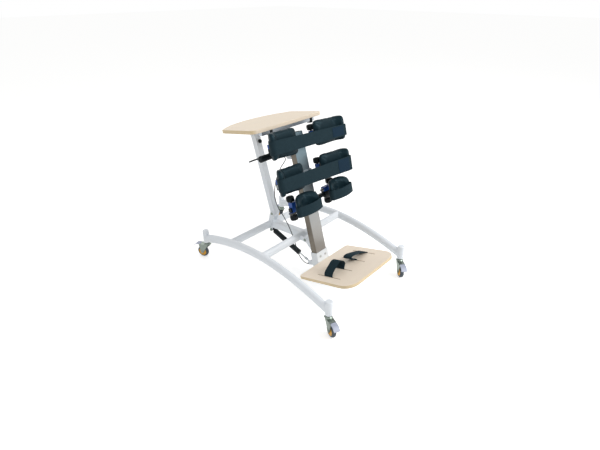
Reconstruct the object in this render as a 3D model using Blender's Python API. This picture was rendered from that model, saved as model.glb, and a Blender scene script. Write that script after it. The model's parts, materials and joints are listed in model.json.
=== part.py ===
"""Tilting standing frame for a clinic, in metres, +Z up, floor at z = 0.

The user stands on the footplate at -Y, leans forward against the pads on the column and works at the
table at +Y. The column, the mast, the table carrier and the base make a parallelogram, so the table keeps
its slope while the column tilts, and a gas spring under the base holds the tilt.
"""
import math

import bmesh
import bpy
from mathutils import Matrix, Vector

# Shared clearances
GAP = 0.0003                    # between faces that touch
RUN = 0.0005                    # beside a part that turns or slides
SINK = 0.0008                   # how far a welded piece is sunk into its neighbour

# Casters
WHEEL_RADIUS = 0.0385
WHEEL_WIDTH = 0.026
HUB_RADIUS = 0.024
HUB_RECESS = 0.0025
AXLE_RADIUS = 0.005
AXLE_HEAD_RADIUS = 0.0075
AXLE_HEAD_HEIGHT = 0.0045
CASTER_TRAIL = 0.035
FORK_SIDE_GAP = 0.002           # between the tyre and a fork leg
FORK_LEG = 0.003
FORK_FOOT_RADIUS = 0.010
CROWN_CLEARANCE = 0.017         # above the wheel
CROWN_THICKNESS = 0.0045
CROWN_BACK = 0.012
CROWN_FRONT = 0.055
RACE_RADIUS = 0.021
RACE_HEIGHT = 0.010
NUT_RADIUS = 0.013
NUT_HEIGHT = 0.0092
PEDAL_PIN_RADIUS = 0.005
PEDAL_PIN_INSET = 0.005         # of the pin from the crown's front end
PEDAL_PIN_DROP = 0.0055         # of the pin below the crown
PEDAL_LENGTH = 0.045
PEDAL_FALL = 0.019
PEDAL_THICKNESS = 0.003
PEDAL_HALF_WIDTH = 0.0175
CASTER_HEADINGS = {"front_left": -113.0, "rear_left": 113.0, "front_right": -130.0, "rear_right": 67.0}

# Base frame
TRACK = 0.700                   # between the post axes, across
WHEELBASE = 1.038               # between the post axes, along
POST_RADIUS = 0.020
POST_HEIGHT = 0.087
POST_DOME = 0.004
RAIL_HALF_WIDTH = 0.0195        # of the oval rail
RAIL_HALF_HEIGHT = 0.0275
RAIL_END_RISE = 0.025           # of the rail's end above the bottom of its post
RAIL_ARCH_RISE = 0.100          # of the crown above the rail's ends
RAIL_ARCH_POWER = 1.9
CROSSBAR_HALF_DEPTH = 0.0190    # of the oval cross tubes
CROSSBAR_HALF_HEIGHT = 0.0265
FRONT_CROSSBAR_Y = -0.024
REAR_CROSSBAR_Y = 0.255
SPINE_WIDTH = 0.040
SPINE_HEIGHT = 0.046

# Column and its pivot, in front of the front crossbar
PIVOT_FORWARD = 0.055
PIVOT_BOLT_RADIUS = 0.005
BOLT_HEAD_RADIUS = 0.009
BOLT_HEAD_HEIGHT = 0.005
PIVOT_BOSS_RADIUS = 0.0145
PIVOT_EAR = 0.006
PIVOT_EAR_RADIUS = 0.0155
COLUMN_LEAN = 16.0              # degrees from the vertical, towards the table
COLUMN_WIDTH = 0.090
COLUMN_DEPTH = 0.0435
COLUMN_WALL = 0.003
COLUMN_CORNER = 0.005
COLUMN_ABOVE_PIVOT = 0.645
COLUMN_BELOW_PIVOT = 0.172
PIVOT_OFFSET = 0.0318           # of the pivot behind the column
BRACKET_CHEEK = 0.006
BRACKET_ABOVE = 0.030
BRACKET_FOOT_GAP = 0.004        # above the foot bracket
BRACKET_WEB = 0.004

# Footplate, square to the column
FOOT_COLLAR_WALL = 0.004
FOOT_COLLAR_ABOVE = 0.060       # above the board
FOOT_COLLAR_BELOW = 0.045       # below the board's top
FOOTPLATE_DROP = 0.1405         # of the board's top below the pivot
FOOTPLATE_WIDTH = 0.452
FOOTPLATE_DEPTH = 0.375
FOOTPLATE_THICKNESS = 0.018
FOOTPLATE_FRONT_CORNER = 0.075
FOOTPLATE_REAR_CORNER = 0.018
TRAY_MARGIN = 0.012
TRAY_THICKNESS = 0.004
TRAY_ARM_WIDTH = 0.060
TRAY_ARM_LENGTH = 0.220
TRAY_ARM_DEPTH = 0.022
SLOT_OFFSETS = (0.0616, 0.1675)  # of the strap slots from the middle
SLOT_WIDTH = 0.004
SLOT_LENGTH = 0.166
SLOT_START = 0.097              # in front of the board's rear edge
FOOT_STRAP_WIDTH = 0.060
FOOT_STRAP_THICKNESS = 0.0025
FOOT_STRAP_START = 0.149        # in front of the board's rear edge
FOOT_STRAP_TAIL = 0.012         # down inside its slot

# Where each foot strap runs: share of the way from the outer to the inner slot, and rise above the board
LEFT_STRAP_ROUTE = ((0.03, 0.014), (0.14, 0.026), (0.42, 0.042), (0.70, 0.057), (0.92, 0.057), (1.12, 0.042),
                    (1.14, 0.026), (1.04, 0.012))
RIGHT_STRAP_ROUTE = ((0.10, 0.009), (0.28, 0.015), (0.54, 0.023), (0.90, 0.033), (1.22, 0.040), (1.42, 0.036),
                     (1.40, 0.024), (1.12, 0.014))

# Mast, parallel to the column, pivoting on the rear crossbar
MAST_SECTION = 0.040
MAST_LENGTH = 0.5146            # from pivot to pivot
MAST_LEAN = 17.25
MAST_PIVOT_BACK = -0.0275       # behind the rear crossbar
MAST_PIVOT_RISE = 0.0864
MAST_TOP = 0.018                # above the top pivot
MAST_CHEEK = 0.006
MAST_CHEEK_RADIUS = 0.017
MAST_KNOB_DROP = 0.045
MAST_KNOB_RADIUS = 0.012
MAST_KNOB_LENGTH = 0.016

# Table and its carrier
TABLE_SLOPE = 10.5
TABLE_EDGE_BACK = 0.0010        # of the user's edge behind the column's top pivot
TABLE_EDGE_RISE = 0.2070        # of the table's top above that pivot
TABLE_WIDTH = 0.552
TABLE_DEPTH = 0.380
TABLE_END_DEPTH = 0.276
TABLE_THICKNESS = 0.020
TABLE_CORNER = 0.040
TABLE_OUTER_CORNER = 0.030
TABLE_RAIL_LENGTH = 0.420
TABLE_RAIL_SECTION = 0.022
TABLE_RAIL_INSET = 0.018
CARRIER_BAR_LENGTH = 0.300
CARRIER_BAR_HEIGHT = 0.030
CARRIER_CHEEK = 0.006
CARRIER_EAR_RADIUS = 0.016
CARRIER_LEG_TOP = (0.008, 0.070)  # span of the front leg on the bar, from the bar's front end
CARRIER_PIN_RADIUS = 0.005
COLUMN_LUG_WIDTH = 0.040

# Gas spring
SPRING_ANCHOR_BACK = -0.003     # of the upper eye behind the rear crossbar
SPRING_ANCHOR_DROP = 0.046
SPRING_FOOT_BACK = 0.0433       # of the lower eye behind the column's pivot, square to the column
SPRING_FOOT_DROP = 0.1788       # of the lower eye below the pivot, along the column
SPRING_RADIUS = 0.0175
SPRING_START = 0.020            # of the cylinder from the upper eye
SPRING_LENGTH = 0.2385
SPRING_BORE_DEPTH = 0.175
ROD_RADIUS = 0.005
ROD_INSIDE = 0.090
RELEASE_HEAD_RADIUS = 0.009
RELEASE_HEAD_LENGTH = 0.020
RELEASE_HEAD_BACK = 0.027       # of the head from the lower eye
SPRING_EYE_RADIUS = 0.010
SPRING_EYE_WIDTH = 0.017
SPRING_PIN_RADIUS = 0.004
SPRING_LUG = 0.005
SPRING_LUG_RADIUS = 0.012

# Push handles with the tilt release
HANDLE_HEIGHT = 0.565           # above the column's pivot
HANDLE_RADIUS = 0.011
HANDLE_REACH = 0.278
HANDLE_COLLAR_RADIUS = 0.014
HANDLE_COLLAR_LENGTH = 0.010
GRIP_RADIUS = 0.0175
GRIP_START = 0.150
GRIP_CAP = 0.010
LEVER_PIVOT_X = 0.100
LEVER_PIVOT_BACK = 0.0238       # behind the handle's axis
LEVER_THICKNESS = 0.010
LEVER_BOSS_RADIUS = 0.008
LEVER_BLADE = 0.006
LEVER_REACH = 0.330
LEVER_SPREAD = 0.0455           # of the blade's end behind the handle's axis
LEVER_PIN_RADIUS = 0.003
LEVER_EAR = 0.004
LEVER_CLAMP = 0.024
CABLE_RADIUS = 0.0025

# Chest and hip supports
SUPPORT_COLLAR_WALL = 0.005
SUPPORT_BAR_SECTION = 0.025
SUPPORT_BAR_LENGTH = 0.480
SUPPORT_BAR_STAND_OFF = 0.005   # in front of the collar
SUPPORT_SPACER_WIDTH = 0.060
SLIDER_WALL = 0.004
SLIDER_START = 0.080
SLIDER_LENGTH = 0.145
SLIDER_BLOCK_HEIGHT = 0.022     # of the block that carries the knob, above the sleeve
SLIDER_BOSS_WIDTH = 0.040
SLIDER_BOSS_START = 0.022       # from the slider's inner end
SLIDER_BOSS_HEIGHT = 0.026
LEFT_SETTING = 0.017            # how far the left slider is set further out
LEFT_PAD_DROP = 0.009           # how much lower the left pads sit
PAD_STAND_OFF = 0.0090          # of a pad's back from the slider
PAD_CROWN_FALL = 0.0006         # of a pad's crowned back at its seat
KNOB_RADIUS = 0.020
KNOB_HEIGHT = 0.030
KNOB_STEM_RADIUS = 0.006
KNOB_STEM = 0.006
KNOB_INSET = 0.008              # from the slider's inner end
PAD_LENGTH = 0.232
PAD_HEIGHT = 0.146
PAD_THICKNESS = 0.034
PAD_INNER_END = 0.062
PAD_STRAIGHT = 0.148
PAD_CURL_RADIUS = 0.060
PAD_CORNER_POWER = 4.5
PAD_EDGE_POWER = 3.2
PAD_DRAWN_IN = 0.025
PAD_ROLL = 3.0                  # degrees that the pads hang lower on the user's right
STRAP_HEIGHT = 0.074
STRAP_THICKNESS = 0.003
STRAP_DROP = 0.0170             # below the middle of the pads
STRAP_TURN_INSET = 0.010        # of the turn's centre from the pad's tip
STRAP_HOLD = 0.100              # of strap along the back of the left pad
STRAP_LAP = -0.030              # past the right pad's turn
CHEST_BAR_HEIGHT = 0.592        # above the column's pivot
CHEST_COLLAR = (-0.010, 0.030)   # span of the collar about the bar
CHEST_PAD_RISE = 0.028          # of the pads' middle above the bar
HIP_BAR_HEIGHT = 0.400
HIP_COLLAR = (-0.025, 0.025)
HIP_PAD_RISE = 0.027

# Knee support
KNEE_BAR_HEIGHT = 0.255
KNEE_COLLAR = (-0.023, 0.027)
KNEE_BAR_SECTION = 0.022
KNEE_BAR_LENGTH = 0.410
KNEE_STAND_OFF = 0.013
KNEE_SLIDER_START = 0.085
KNEE_SLIDER_LENGTH = 0.110
KNEE_BLOCK_HEIGHT = 0.026       # of the block above the sleeve
KNEE_BOSS_WIDTH = 0.050
KNEE_BOSS_LENGTH = 0.0195
KNEE_CUP_LENGTH = 0.200
KNEE_CUP_HEIGHT = 0.115
KNEE_CUP_THICKNESS = 0.030
KNEE_CUP_RADIUS = 0.110
KNEE_CUP_RISE = 0.025           # of the cups' middle above the bar
KNEE_CUP_CORNER_POWER = 2.7
KNEE_STRAP_HEIGHT = 0.062
KNEE_STRAP_DROP = 0.022
KNEE_STRAP_HOLD = 0.035
KNEE_CUP_FALL = 0.0010          # of a cup's crowned back under its strap
KNEE_KNOB_RADIUS = 0.021
KNEE_UPPER_KNOBS = (-0.185, 0.152)  # left and right
KNEE_LOWER_KNOBS = (-0.185, 0.112)
KNEE_FOOT_HEIGHT = 0.010        # of the block below the sleeve

# Facet counts
ROUND = 16
FINE_ROUND = 24
SMALL_ROUND = 12
PAD_SEGMENTS = 32
PAD_RINGS = (66, 38, 14, -14, -38, -66)


def linear(hex_colour):
    """Turn an sRGB hex colour into linear red, green, blue and alpha."""
    channels = [int(hex_colour[i:i + 2], 16) / 255 for i in (1, 3, 5)]
    return [c / 12.92 if c <= 0.04045 else ((c + 0.055) / 1.055) ** 2.4 for c in channels] + [1.0]


def material(name, hex_colour, roughness, metallic=0.0):
    """Make a plain surface finish."""
    made = bpy.data.materials.new(name)
    made.use_nodes = True
    shader = made.node_tree.nodes["Principled BSDF"]
    shader.inputs["Base Color"].default_value = linear(hex_colour)
    shader.inputs["Roughness"].default_value = roughness
    shader.inputs["Metallic"].default_value = metallic
    return made


def to_mesh(shape):
    """Close a bmesh into a mesh whose faces point out."""
    bmesh.ops.recalc_face_normals(shape, faces=shape.faces)
    mesh = bpy.data.meshes.new("shape")
    shape.to_mesh(mesh)
    shape.free()
    return mesh


def empty(name, location, lean=0.0, heading=0.0):
    """Make a reference frame that leans back about X or is turned about Z, in degrees."""
    frame = bpy.data.objects.new(name, None)
    frame.location = location
    frame.rotation_euler = (math.radians(-lean), 0.0, math.radians(heading))
    bpy.context.scene.collection.objects.link(frame)
    return frame


def place(name, mesh, finish, parent=None, location=(0, 0, 0), smooth=True):
    """Put a finished mesh in the scene as a named piece."""
    piece = bpy.data.objects.new(name, mesh)
    mesh.name = name
    mesh.materials.clear()
    mesh.materials.append(finish)
    if smooth:
        mesh.shade_smooth()
        mesh.set_sharp_from_angle(angle=math.radians(35))
    piece.parent = parent
    piece.location = location
    bpy.context.scene.collection.objects.link(piece)
    return piece


def combine(first, second, operation):
    """Join or cut two closed meshes with a Boolean and return the resulting mesh."""
    target = bpy.data.objects.new("target", first)
    tool = bpy.data.objects.new("tool", second)
    for item in (target, tool):
        bpy.context.scene.collection.objects.link(item)
    step = target.modifiers.new("step", "BOOLEAN")
    step.operation = operation
    step.solver = "EXACT"
    step.object = tool
    graph = bpy.context.evaluated_depsgraph_get()
    result = bpy.data.meshes.new_from_object(target.evaluated_get(graph))
    for item in (target, tool):
        bpy.data.objects.remove(item)
    return result


def weld(first, *others):
    """Join meshes into one body."""
    for other in others:
        first = combine(first, other, "UNION")
    return first


def cut(first, *cutters):
    """Take cutters away from a mesh."""
    for cutter in cutters:
        first = combine(first, cutter, "DIFFERENCE")
    return first


AXIS_ORDER = {"x": lambda a, b, h: (h, a, b), "y": lambda a, b, h: (a, h, b), "z": lambda a, b, h: (a, b, h)}


def prism(outline, low, high, along):
    """Extrude a flat outline between two heights along one axis."""
    shape = bmesh.new()
    spot = AXIS_ORDER[along]
    lower = [shape.verts.new(spot(a, b, low)) for a, b in outline]
    upper = [shape.verts.new(spot(a, b, high)) for a, b in outline]
    shape.faces.new(lower)
    shape.faces.new(list(reversed(upper)))
    for i in range(len(outline)):
        j = (i + 1) % len(outline)
        shape.faces.new((lower[i], lower[j], upper[j], upper[i]))
    return to_mesh(shape)


def block(x, y, z):
    """Make a box from its three spans."""
    corners = [(x[0], y[0]), (x[1], y[0]), (x[1], y[1]), (x[0], y[1])]
    return prism(corners, z[0], z[1], "z")


def arc(centre, radius, start, end, steps):
    """Give points on a circular arc, with the angles in degrees."""
    turns = [math.radians(start + (end - start) * i / steps) for i in range(steps + 1)]
    return [(centre[0] + radius * math.cos(t), centre[1] + radius * math.sin(t)) for t in turns]


def rounded(corners, steps=6):
    """Give the outline of a polygon whose corners (a, b, radius) are rounded by tangent arcs."""
    outline = []
    for i, (a, b, radius) in enumerate(corners):
        here = Vector((a, b))
        before = (Vector(corners[i - 1][:2]) - here).normalized()
        after = (Vector(corners[(i + 1) % len(corners)][:2]) - here).normalized()
        if radius <= 0:
            outline.append((a, b))
            continue
        half = before.angle(after) / 2
        centre = here + (before + after).normalized() * radius / math.sin(half)
        first = here + before * radius / math.tan(half) - centre
        last = here + after * radius / math.tan(half) - centre
        sweep = first.angle_signed(last)
        for k in range(steps + 1):
            outline.append(tuple(centre + Matrix.Rotation(-sweep * k / steps, 2) @ first))
    return outline


def hull(circles, steps=ROUND):
    """Give the outline of a band drawn tight round circles (a, b, radius)."""
    points = []
    for a, b, radius in circles:
        points += arc((a, b), radius, 0, 360, steps)[:-1] if radius > 0 else [(a, b)]
    points = sorted(set((round(a, 7), round(b, 7)) for a, b in points))

    def side(ordered):
        chain = []
        for p in ordered:
            while len(chain) > 1:
                (ax, ay), (bx, by) = chain[-2], chain[-1]
                if (bx - ax) * (p[1] - ay) - (by - ay) * (p[0] - ax) > 0:
                    break
                chain.pop()
            chain.append(p)
        return chain[:-1]

    return side(points) + side(points[::-1])


def turned(profile, sides, along, centre=(0, 0, 0)):
    """Revolve a profile of (radius, height) points about an axis. A zero radius closes the shape there."""
    shape = bmesh.new()
    spot = AXIS_ORDER[along]
    rings = []
    for radius, height in profile:
        count = sides if radius > 0 else 1
        angles = [2 * math.pi * (i + 0.5 * (count == 1)) / sides for i in range(count)]
        ring = [spot(radius * math.cos(t), radius * math.sin(t), height) for t in angles]
        rings.append([shape.verts.new(Vector(p) + Vector(centre)) for p in ring])
    open_profile = len(rings[0]) == 1
    pairs = list(zip(rings, rings[1:])) if open_profile else list(zip(rings, rings[1:] + rings[:1]))
    for lower, upper in pairs:
        for i in range(sides):
            j = (i + 1) % sides
            quad = [lower[i % len(lower)], lower[j % len(lower)], upper[j % len(upper)],
                    upper[i % len(upper)]]
            unique = list(dict.fromkeys(quad))
            if len(unique) > 2:
                shape.faces.new(unique)
    return to_mesh(shape)


def rod(radius, low, high, along, centre=(0, 0, 0), sides=ROUND):
    """Make a round bar along one axis."""
    return turned([(0, low), (radius, low), (radius, high), (0, high)], sides, along, centre)


def bolt(radius, head_radius, head_height, half_length, along, centre=(0, 0, 0)):
    """Make a bolt with a low domed head at each end."""
    dome = head_radius * 0.7
    half = [(radius, half_length), (head_radius, half_length), (head_radius, half_length + head_height / 2),
            (dome, half_length + head_height), (0, half_length + head_height)]
    return turned([(r, -h) for r, h in reversed(half)] + half, SMALL_ROUND, along, centre)


def clearance_hole(radius, reach, along, centre=(0, 0, 0)):
    """Make the cutter for a hole whose flats clear a round pin."""
    return rod((radius + GAP) / math.cos(math.pi / ROUND), -reach, reach, along, centre)


def sweep_rail(x, spread=0.0, sides=16, steps=20):
    """Carry an oval along the arch of a side rail, made larger all round by the spread."""
    half = WHEELBASE / 2
    wide, tall = RAIL_HALF_WIDTH + spread, RAIL_HALF_HEIGHT + spread
    shape = bmesh.new()
    rings = []
    for i in range(steps + 1):
        y = half - WHEELBASE * i / steps
        ahead = rail_height(y - 0.001) - rail_height(y + 0.001)
        tangent = Vector((0, -0.002, ahead)).normalized()
        side = Vector((1, 0, 0))
        lift = tangent.cross(side)
        centre = Vector((x, y, rail_height(y)))
        angles = [2 * math.pi * k / sides for k in range(sides)]
        rings.append([shape.verts.new(centre + wide * math.cos(t) * side + tall * math.sin(t) * lift)
                      for t in angles])
    shape.faces.new(rings[0])
    shape.faces.new(list(reversed(rings[-1])))
    for lower, upper in zip(rings, rings[1:]):
        for k in range(sides):
            j = (k + 1) % sides
            shape.faces.new((lower[k], lower[j], upper[j], upper[k]))
    return to_mesh(shape)


def leaned(dy, dz, lean):
    """Give a world offset (dy, dz) in a frame that leans back by an angle in degrees."""
    t = math.radians(lean)
    return dy * math.cos(t) - dz * math.sin(t), dy * math.sin(t) + dz * math.cos(t)


def unleaned(back, along, lean):
    """Give an offset in a leaning frame as a world offset (dy, dz)."""
    return leaned(back, along, -lean)


# Heights and pivots that follow from the sizes
AXLE_HEIGHT = WHEEL_RADIUS
CROWN_BOTTOM = 2 * WHEEL_RADIUS + CROWN_CLEARANCE
CROWN_TOP = CROWN_BOTTOM + CROWN_THICKNESS
POST_BOTTOM = CROWN_TOP + RACE_HEIGHT + NUT_HEIGHT + GAP
RAIL_END_HEIGHT = POST_BOTTOM + RAIL_END_RISE


def rail_height(y):
    """Height of a side rail's axis along the arch."""
    share = min(1.0, abs(y) / (WHEELBASE / 2))
    return RAIL_END_HEIGHT + RAIL_ARCH_RISE * (1 - share ** RAIL_ARCH_POWER)


FRONT_CROSSBAR_Z = rail_height(FRONT_CROSSBAR_Y)
REAR_CROSSBAR_Z = rail_height(REAR_CROSSBAR_Y)
PIVOT_Y = FRONT_CROSSBAR_Y - PIVOT_FORWARD
PIVOT_Z = FRONT_CROSSBAR_Z
MAST_Y = REAR_CROSSBAR_Y + MAST_PIVOT_BACK
MAST_Z = REAR_CROSSBAR_Z + MAST_PIVOT_RISE
MAST_DY, MAST_DZ = unleaned(0, MAST_LENGTH, MAST_LEAN)
TOP_PIVOT_Y = PIVOT_Y + MAST_DY
TOP_PIVOT_Z = PIVOT_Z + MAST_DZ
TOP_PIVOT_BACK, TOP_PIVOT_UP = leaned(MAST_DY, MAST_DZ, COLUMN_LEAN)
COLUMN_REAR = -PIVOT_OFFSET
COLUMN_FRONT = COLUMN_REAR - COLUMN_DEPTH
SPRING_Y = REAR_CROSSBAR_Y + SPRING_ANCHOR_BACK
SPRING_Z = REAR_CROSSBAR_Z - SPRING_ANCHOR_DROP


def build_rails(white):
    """Side rails: an arched tube welded between two caster posts."""
    profile = [(0, POST_BOTTOM), (POST_RADIUS, POST_BOTTOM),
               (POST_RADIUS, POST_BOTTOM + POST_HEIGHT - POST_DOME),
               (POST_RADIUS * 0.85, POST_BOTTOM + POST_HEIGHT - POST_DOME / 4),
               (0, POST_BOTTOM + POST_HEIGHT)]
    for name, x in (("rail_left", -TRACK / 2), ("rail_right", TRACK / 2)):
        ends = (-WHEELBASE / 2, WHEELBASE / 2)
        posts = [turned(profile, ROUND, "z", (x, y, 0)) for y in ends]
        below = [block((x - 2 * POST_RADIUS, x + 2 * POST_RADIUS), (y - POST_RADIUS, y + POST_RADIUS),
                       (POST_BOTTOM - POST_HEIGHT, POST_BOTTOM + SINK)) for y in ends]
        place(name, weld(cut(sweep_rail(x), *below), *posts), white)


def oval(y, z, spread=0.0):
    """Outline of a cross tube, made larger all round by the spread."""
    deep, tall = CROSSBAR_HALF_DEPTH + spread, CROSSBAR_HALF_HEIGHT + spread
    angles = [2 * math.pi * k / FINE_ROUND for k in range(FINE_ROUND)]
    return [(y + deep * math.cos(t), z + tall * math.sin(t)) for t in angles]


def crossbar(y, z):
    """Cross tube that is still too long, before its ends are shaped to the rails."""
    return prism(oval(y, z), -TRACK / 2, TRACK / 2, "x")


def rail_cutters():
    """Rails with their welding gap, for shaping the ends of the cross tubes."""
    return [sweep_rail(x, GAP) for x in (-TRACK / 2, TRACK / 2)]


def both_sides(outline, inner, thickness):
    """Make a pair of plates with one outline on either side of the middle plane."""
    spans = ((inner, inner + thickness), (-inner - thickness, -inner))
    return [prism(outline, low, high, "x") for low, high in spans]


BRACKET_HALF = COLUMN_WIDTH / 2 - 0.005
EAR_INNER = BRACKET_HALF + RUN
MAST_CHEEK_INNER = MAST_SECTION / 2 + GAP
SPRING_LUG_INNER = SPRING_EYE_WIDTH / 2 + RUN
WELD_RADIUS = 0.75 * CROSSBAR_HALF_DEPTH


def build_crossbars(white):
    """Front crossbar with the column's ears, and rear crossbar with the mast's and the spring's plates."""
    hinge = (0, PIVOT_Y, PIVOT_Z)
    ears = hull([(PIVOT_Y, PIVOT_Z, PIVOT_EAR_RADIUS), (FRONT_CROSSBAR_Y, FRONT_CROSSBAR_Z, WELD_RADIUS)])
    front = weld(crossbar(FRONT_CROSSBAR_Y, FRONT_CROSSBAR_Z), *both_sides(ears, EAR_INNER, PIVOT_EAR))
    front = cut(front, clearance_hole(PIVOT_BOLT_RADIUS, COLUMN_WIDTH, "x", hinge), *rail_cutters())
    place("crossbar_front", front, white)

    root = (REAR_CROSSBAR_Y, REAR_CROSSBAR_Z, WELD_RADIUS)
    cheeks = hull([(MAST_Y, MAST_Z, MAST_CHEEK_RADIUS), root])
    lugs = hull([(SPRING_Y, SPRING_Z, SPRING_LUG_RADIUS),
                 (REAR_CROSSBAR_Y, REAR_CROSSBAR_Z, WELD_RADIUS / 2)])
    pin_reach = SPRING_LUG_INNER + SPRING_LUG / 2
    pin = rod(SPRING_PIN_RADIUS, -pin_reach, pin_reach, "x", (0, SPRING_Y, SPRING_Z))
    rear = weld(crossbar(REAR_CROSSBAR_Y, REAR_CROSSBAR_Z), *both_sides(cheeks, MAST_CHEEK_INNER, MAST_CHEEK),
                *both_sides(lugs, SPRING_LUG_INNER, SPRING_LUG), pin)
    rear = cut(rear, clearance_hole(PIVOT_BOLT_RADIUS, MAST_SECTION, "x", (0, MAST_Y, MAST_Z)),
               *rail_cutters())
    place("crossbar_rear", rear, white)


def build_spine(white):
    """Rectangular tube between the crossbars."""
    half = SPINE_HEIGHT / 2
    side = [(FRONT_CROSSBAR_Y, FRONT_CROSSBAR_Z - half), (REAR_CROSSBAR_Y, REAR_CROSSBAR_Z - half),
            (REAR_CROSSBAR_Y, REAR_CROSSBAR_Z + half), (FRONT_CROSSBAR_Y, FRONT_CROSSBAR_Z + half)]
    bar = prism(side, -SPINE_WIDTH / 2, SPINE_WIDTH / 2, "x")
    ends = [prism(oval(y, z, GAP), -SPINE_WIDTH, SPINE_WIDTH, "x")
            for y, z in ((FRONT_CROSSBAR_Y, FRONT_CROSSBAR_Z), (REAR_CROSSBAR_Y, REAR_CROSSBAR_Z))]
    lugs = hull([(SPRING_Y, SPRING_Z, SPRING_LUG_RADIUS + GAP),
                 (REAR_CROSSBAR_Y, REAR_CROSSBAR_Z, WELD_RADIUS / 2 + GAP)])
    ends.append(prism(lugs, -SPINE_WIDTH, SPINE_WIDTH, "x"))
    place("spine_tube", cut(bar, *ends), white)


def wheel_profile():
    """Half section of a wheel with bore, boss, hub and tyre, as (radius, distance from the middle)."""
    bore = (AXLE_RADIUS + GAP) / math.cos(math.pi / FINE_ROUND)
    half = WHEEL_WIDTH / 2
    boss = half + FORK_SIDE_GAP - RUN
    side = [(bore, boss), (2 * AXLE_RADIUS, boss), (2.2 * AXLE_RADIUS, half - HUB_RECESS),
            (HUB_RADIUS, half - HUB_RECESS), (WHEEL_RADIUS - 0.005, half), (WHEEL_RADIUS, half - 0.005)]
    return side + [(radius, -reach) for radius, reach in reversed(side)]


def build_fork(name, frame, zinc):
    """Caster fork: swivel race and nut, crown, two legs and the axle bolt."""
    leg_inner = WHEEL_WIDTH / 2 + FORK_SIDE_GAP
    leg_outer = leg_inner + FORK_LEG
    leg = hull([(CASTER_TRAIL, AXLE_HEIGHT, FORK_FOOT_RADIUS), (-CROWN_BACK, CROWN_TOP - SINK, 0),
                (CROWN_FRONT, CROWN_TOP - SINK, 0), (CROWN_FRONT, CROWN_BOTTOM - PEDAL_PIN_DROP, 0)])
    legs = [prism(leg, low, high, "y") for low, high in ((leg_inner, leg_outer), (-leg_outer, -leg_inner))]
    pin_x = CROWN_FRONT - PEDAL_PIN_INSET
    crown = block((-RACE_RADIUS, pin_x - PEDAL_PIN_RADIUS - RUN), (-leg_outer - SINK, leg_outer + SINK),
                  (CROWN_BOTTOM, CROWN_TOP))
    race_top = CROWN_TOP + RACE_HEIGHT
    swivel = turned([(0, CROWN_TOP - SINK), (RACE_RADIUS, CROWN_TOP - SINK),
                     (RACE_RADIUS, CROWN_TOP + RACE_HEIGHT / 2),
                     (NUT_RADIUS + 0.002, race_top), (NUT_RADIUS, race_top),
                     (NUT_RADIUS, race_top + NUT_HEIGHT),
                     (0, race_top + NUT_HEIGHT)], ROUND, "z")
    axle = bolt(AXLE_RADIUS, AXLE_HEAD_RADIUS, AXLE_HEAD_HEIGHT, leg_outer - SINK, "y",
                (CASTER_TRAIL, 0, AXLE_HEIGHT))
    place(name, weld(crown, *legs, swivel, axle), zinc, frame)


def build_pedal(name, frame, lilac):
    """Brake pedal, hinged between the front ends of the fork's legs."""
    pin = (CROWN_FRONT - PEDAL_PIN_INSET, CROWN_BOTTOM - PEDAL_PIN_DROP + PEDAL_PIN_RADIUS + RUN)
    neck_half = WHEEL_WIDTH / 2 + FORK_SIDE_GAP - RUN
    start = PEDAL_PIN_INSET + 2 * RUN

    top = PEDAL_PIN_RADIUS - SINK
    bend = (start + PEDAL_LENGTH) / 2
    line = [(start, top), (bend, top - 0.002), (PEDAL_LENGTH, top - PEDAL_FALL)]
    slab = line + [(a, b - PEDAL_THICKNESS) for a, b in reversed(line)]
    hub = rod(PEDAL_PIN_RADIUS, -neck_half, neck_half, "y")
    neck = block((0, start + PEDAL_THICKNESS), (-neck_half + SINK, neck_half - SINK),
                 (top - PEDAL_THICKNESS + SINK / 2, top - SINK))
    tread = weld(hub, neck, prism(slab, -PEDAL_HALF_WIDTH, PEDAL_HALF_WIDTH, "y"))
    place(name, tread, lilac, frame, (pin[0], 0, pin[1]))


def build_casters(zinc, rubber, lilac):
    """Four swivel casters with brakes, each on its post's axis and turned to its own heading."""
    for corner, heading in CASTER_HEADINGS.items():
        x = TRACK / 2 if corner.endswith("right") else -TRACK / 2
        y = WHEELBASE / 2 if corner.startswith("rear") else -WHEELBASE / 2
        frame = empty("caster_axis_" + corner, (x, y, 0), heading=heading)
        build_fork("caster_fork_" + corner, frame, zinc)
        wheel = turned(wheel_profile(), FINE_ROUND, "y")
        place("caster_wheel_" + corner, wheel, rubber, frame, (CASTER_TRAIL, 0, AXLE_HEIGHT))
        build_pedal("brake_pedal_" + corner, frame, lilac)


def collar(wall, low, high):
    """Make a sleeve that fits round the column."""
    inner_x = COLUMN_WIDTH / 2 + GAP
    inner_y = (COLUMN_FRONT - GAP, COLUMN_REAR + GAP)
    outside = block((-inner_x - wall, inner_x + wall), (inner_y[0] - wall, inner_y[1] + wall), (low, high))
    return cut(outside, block((-inner_x, inner_x), inner_y, (low - wall, high + wall)))


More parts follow.
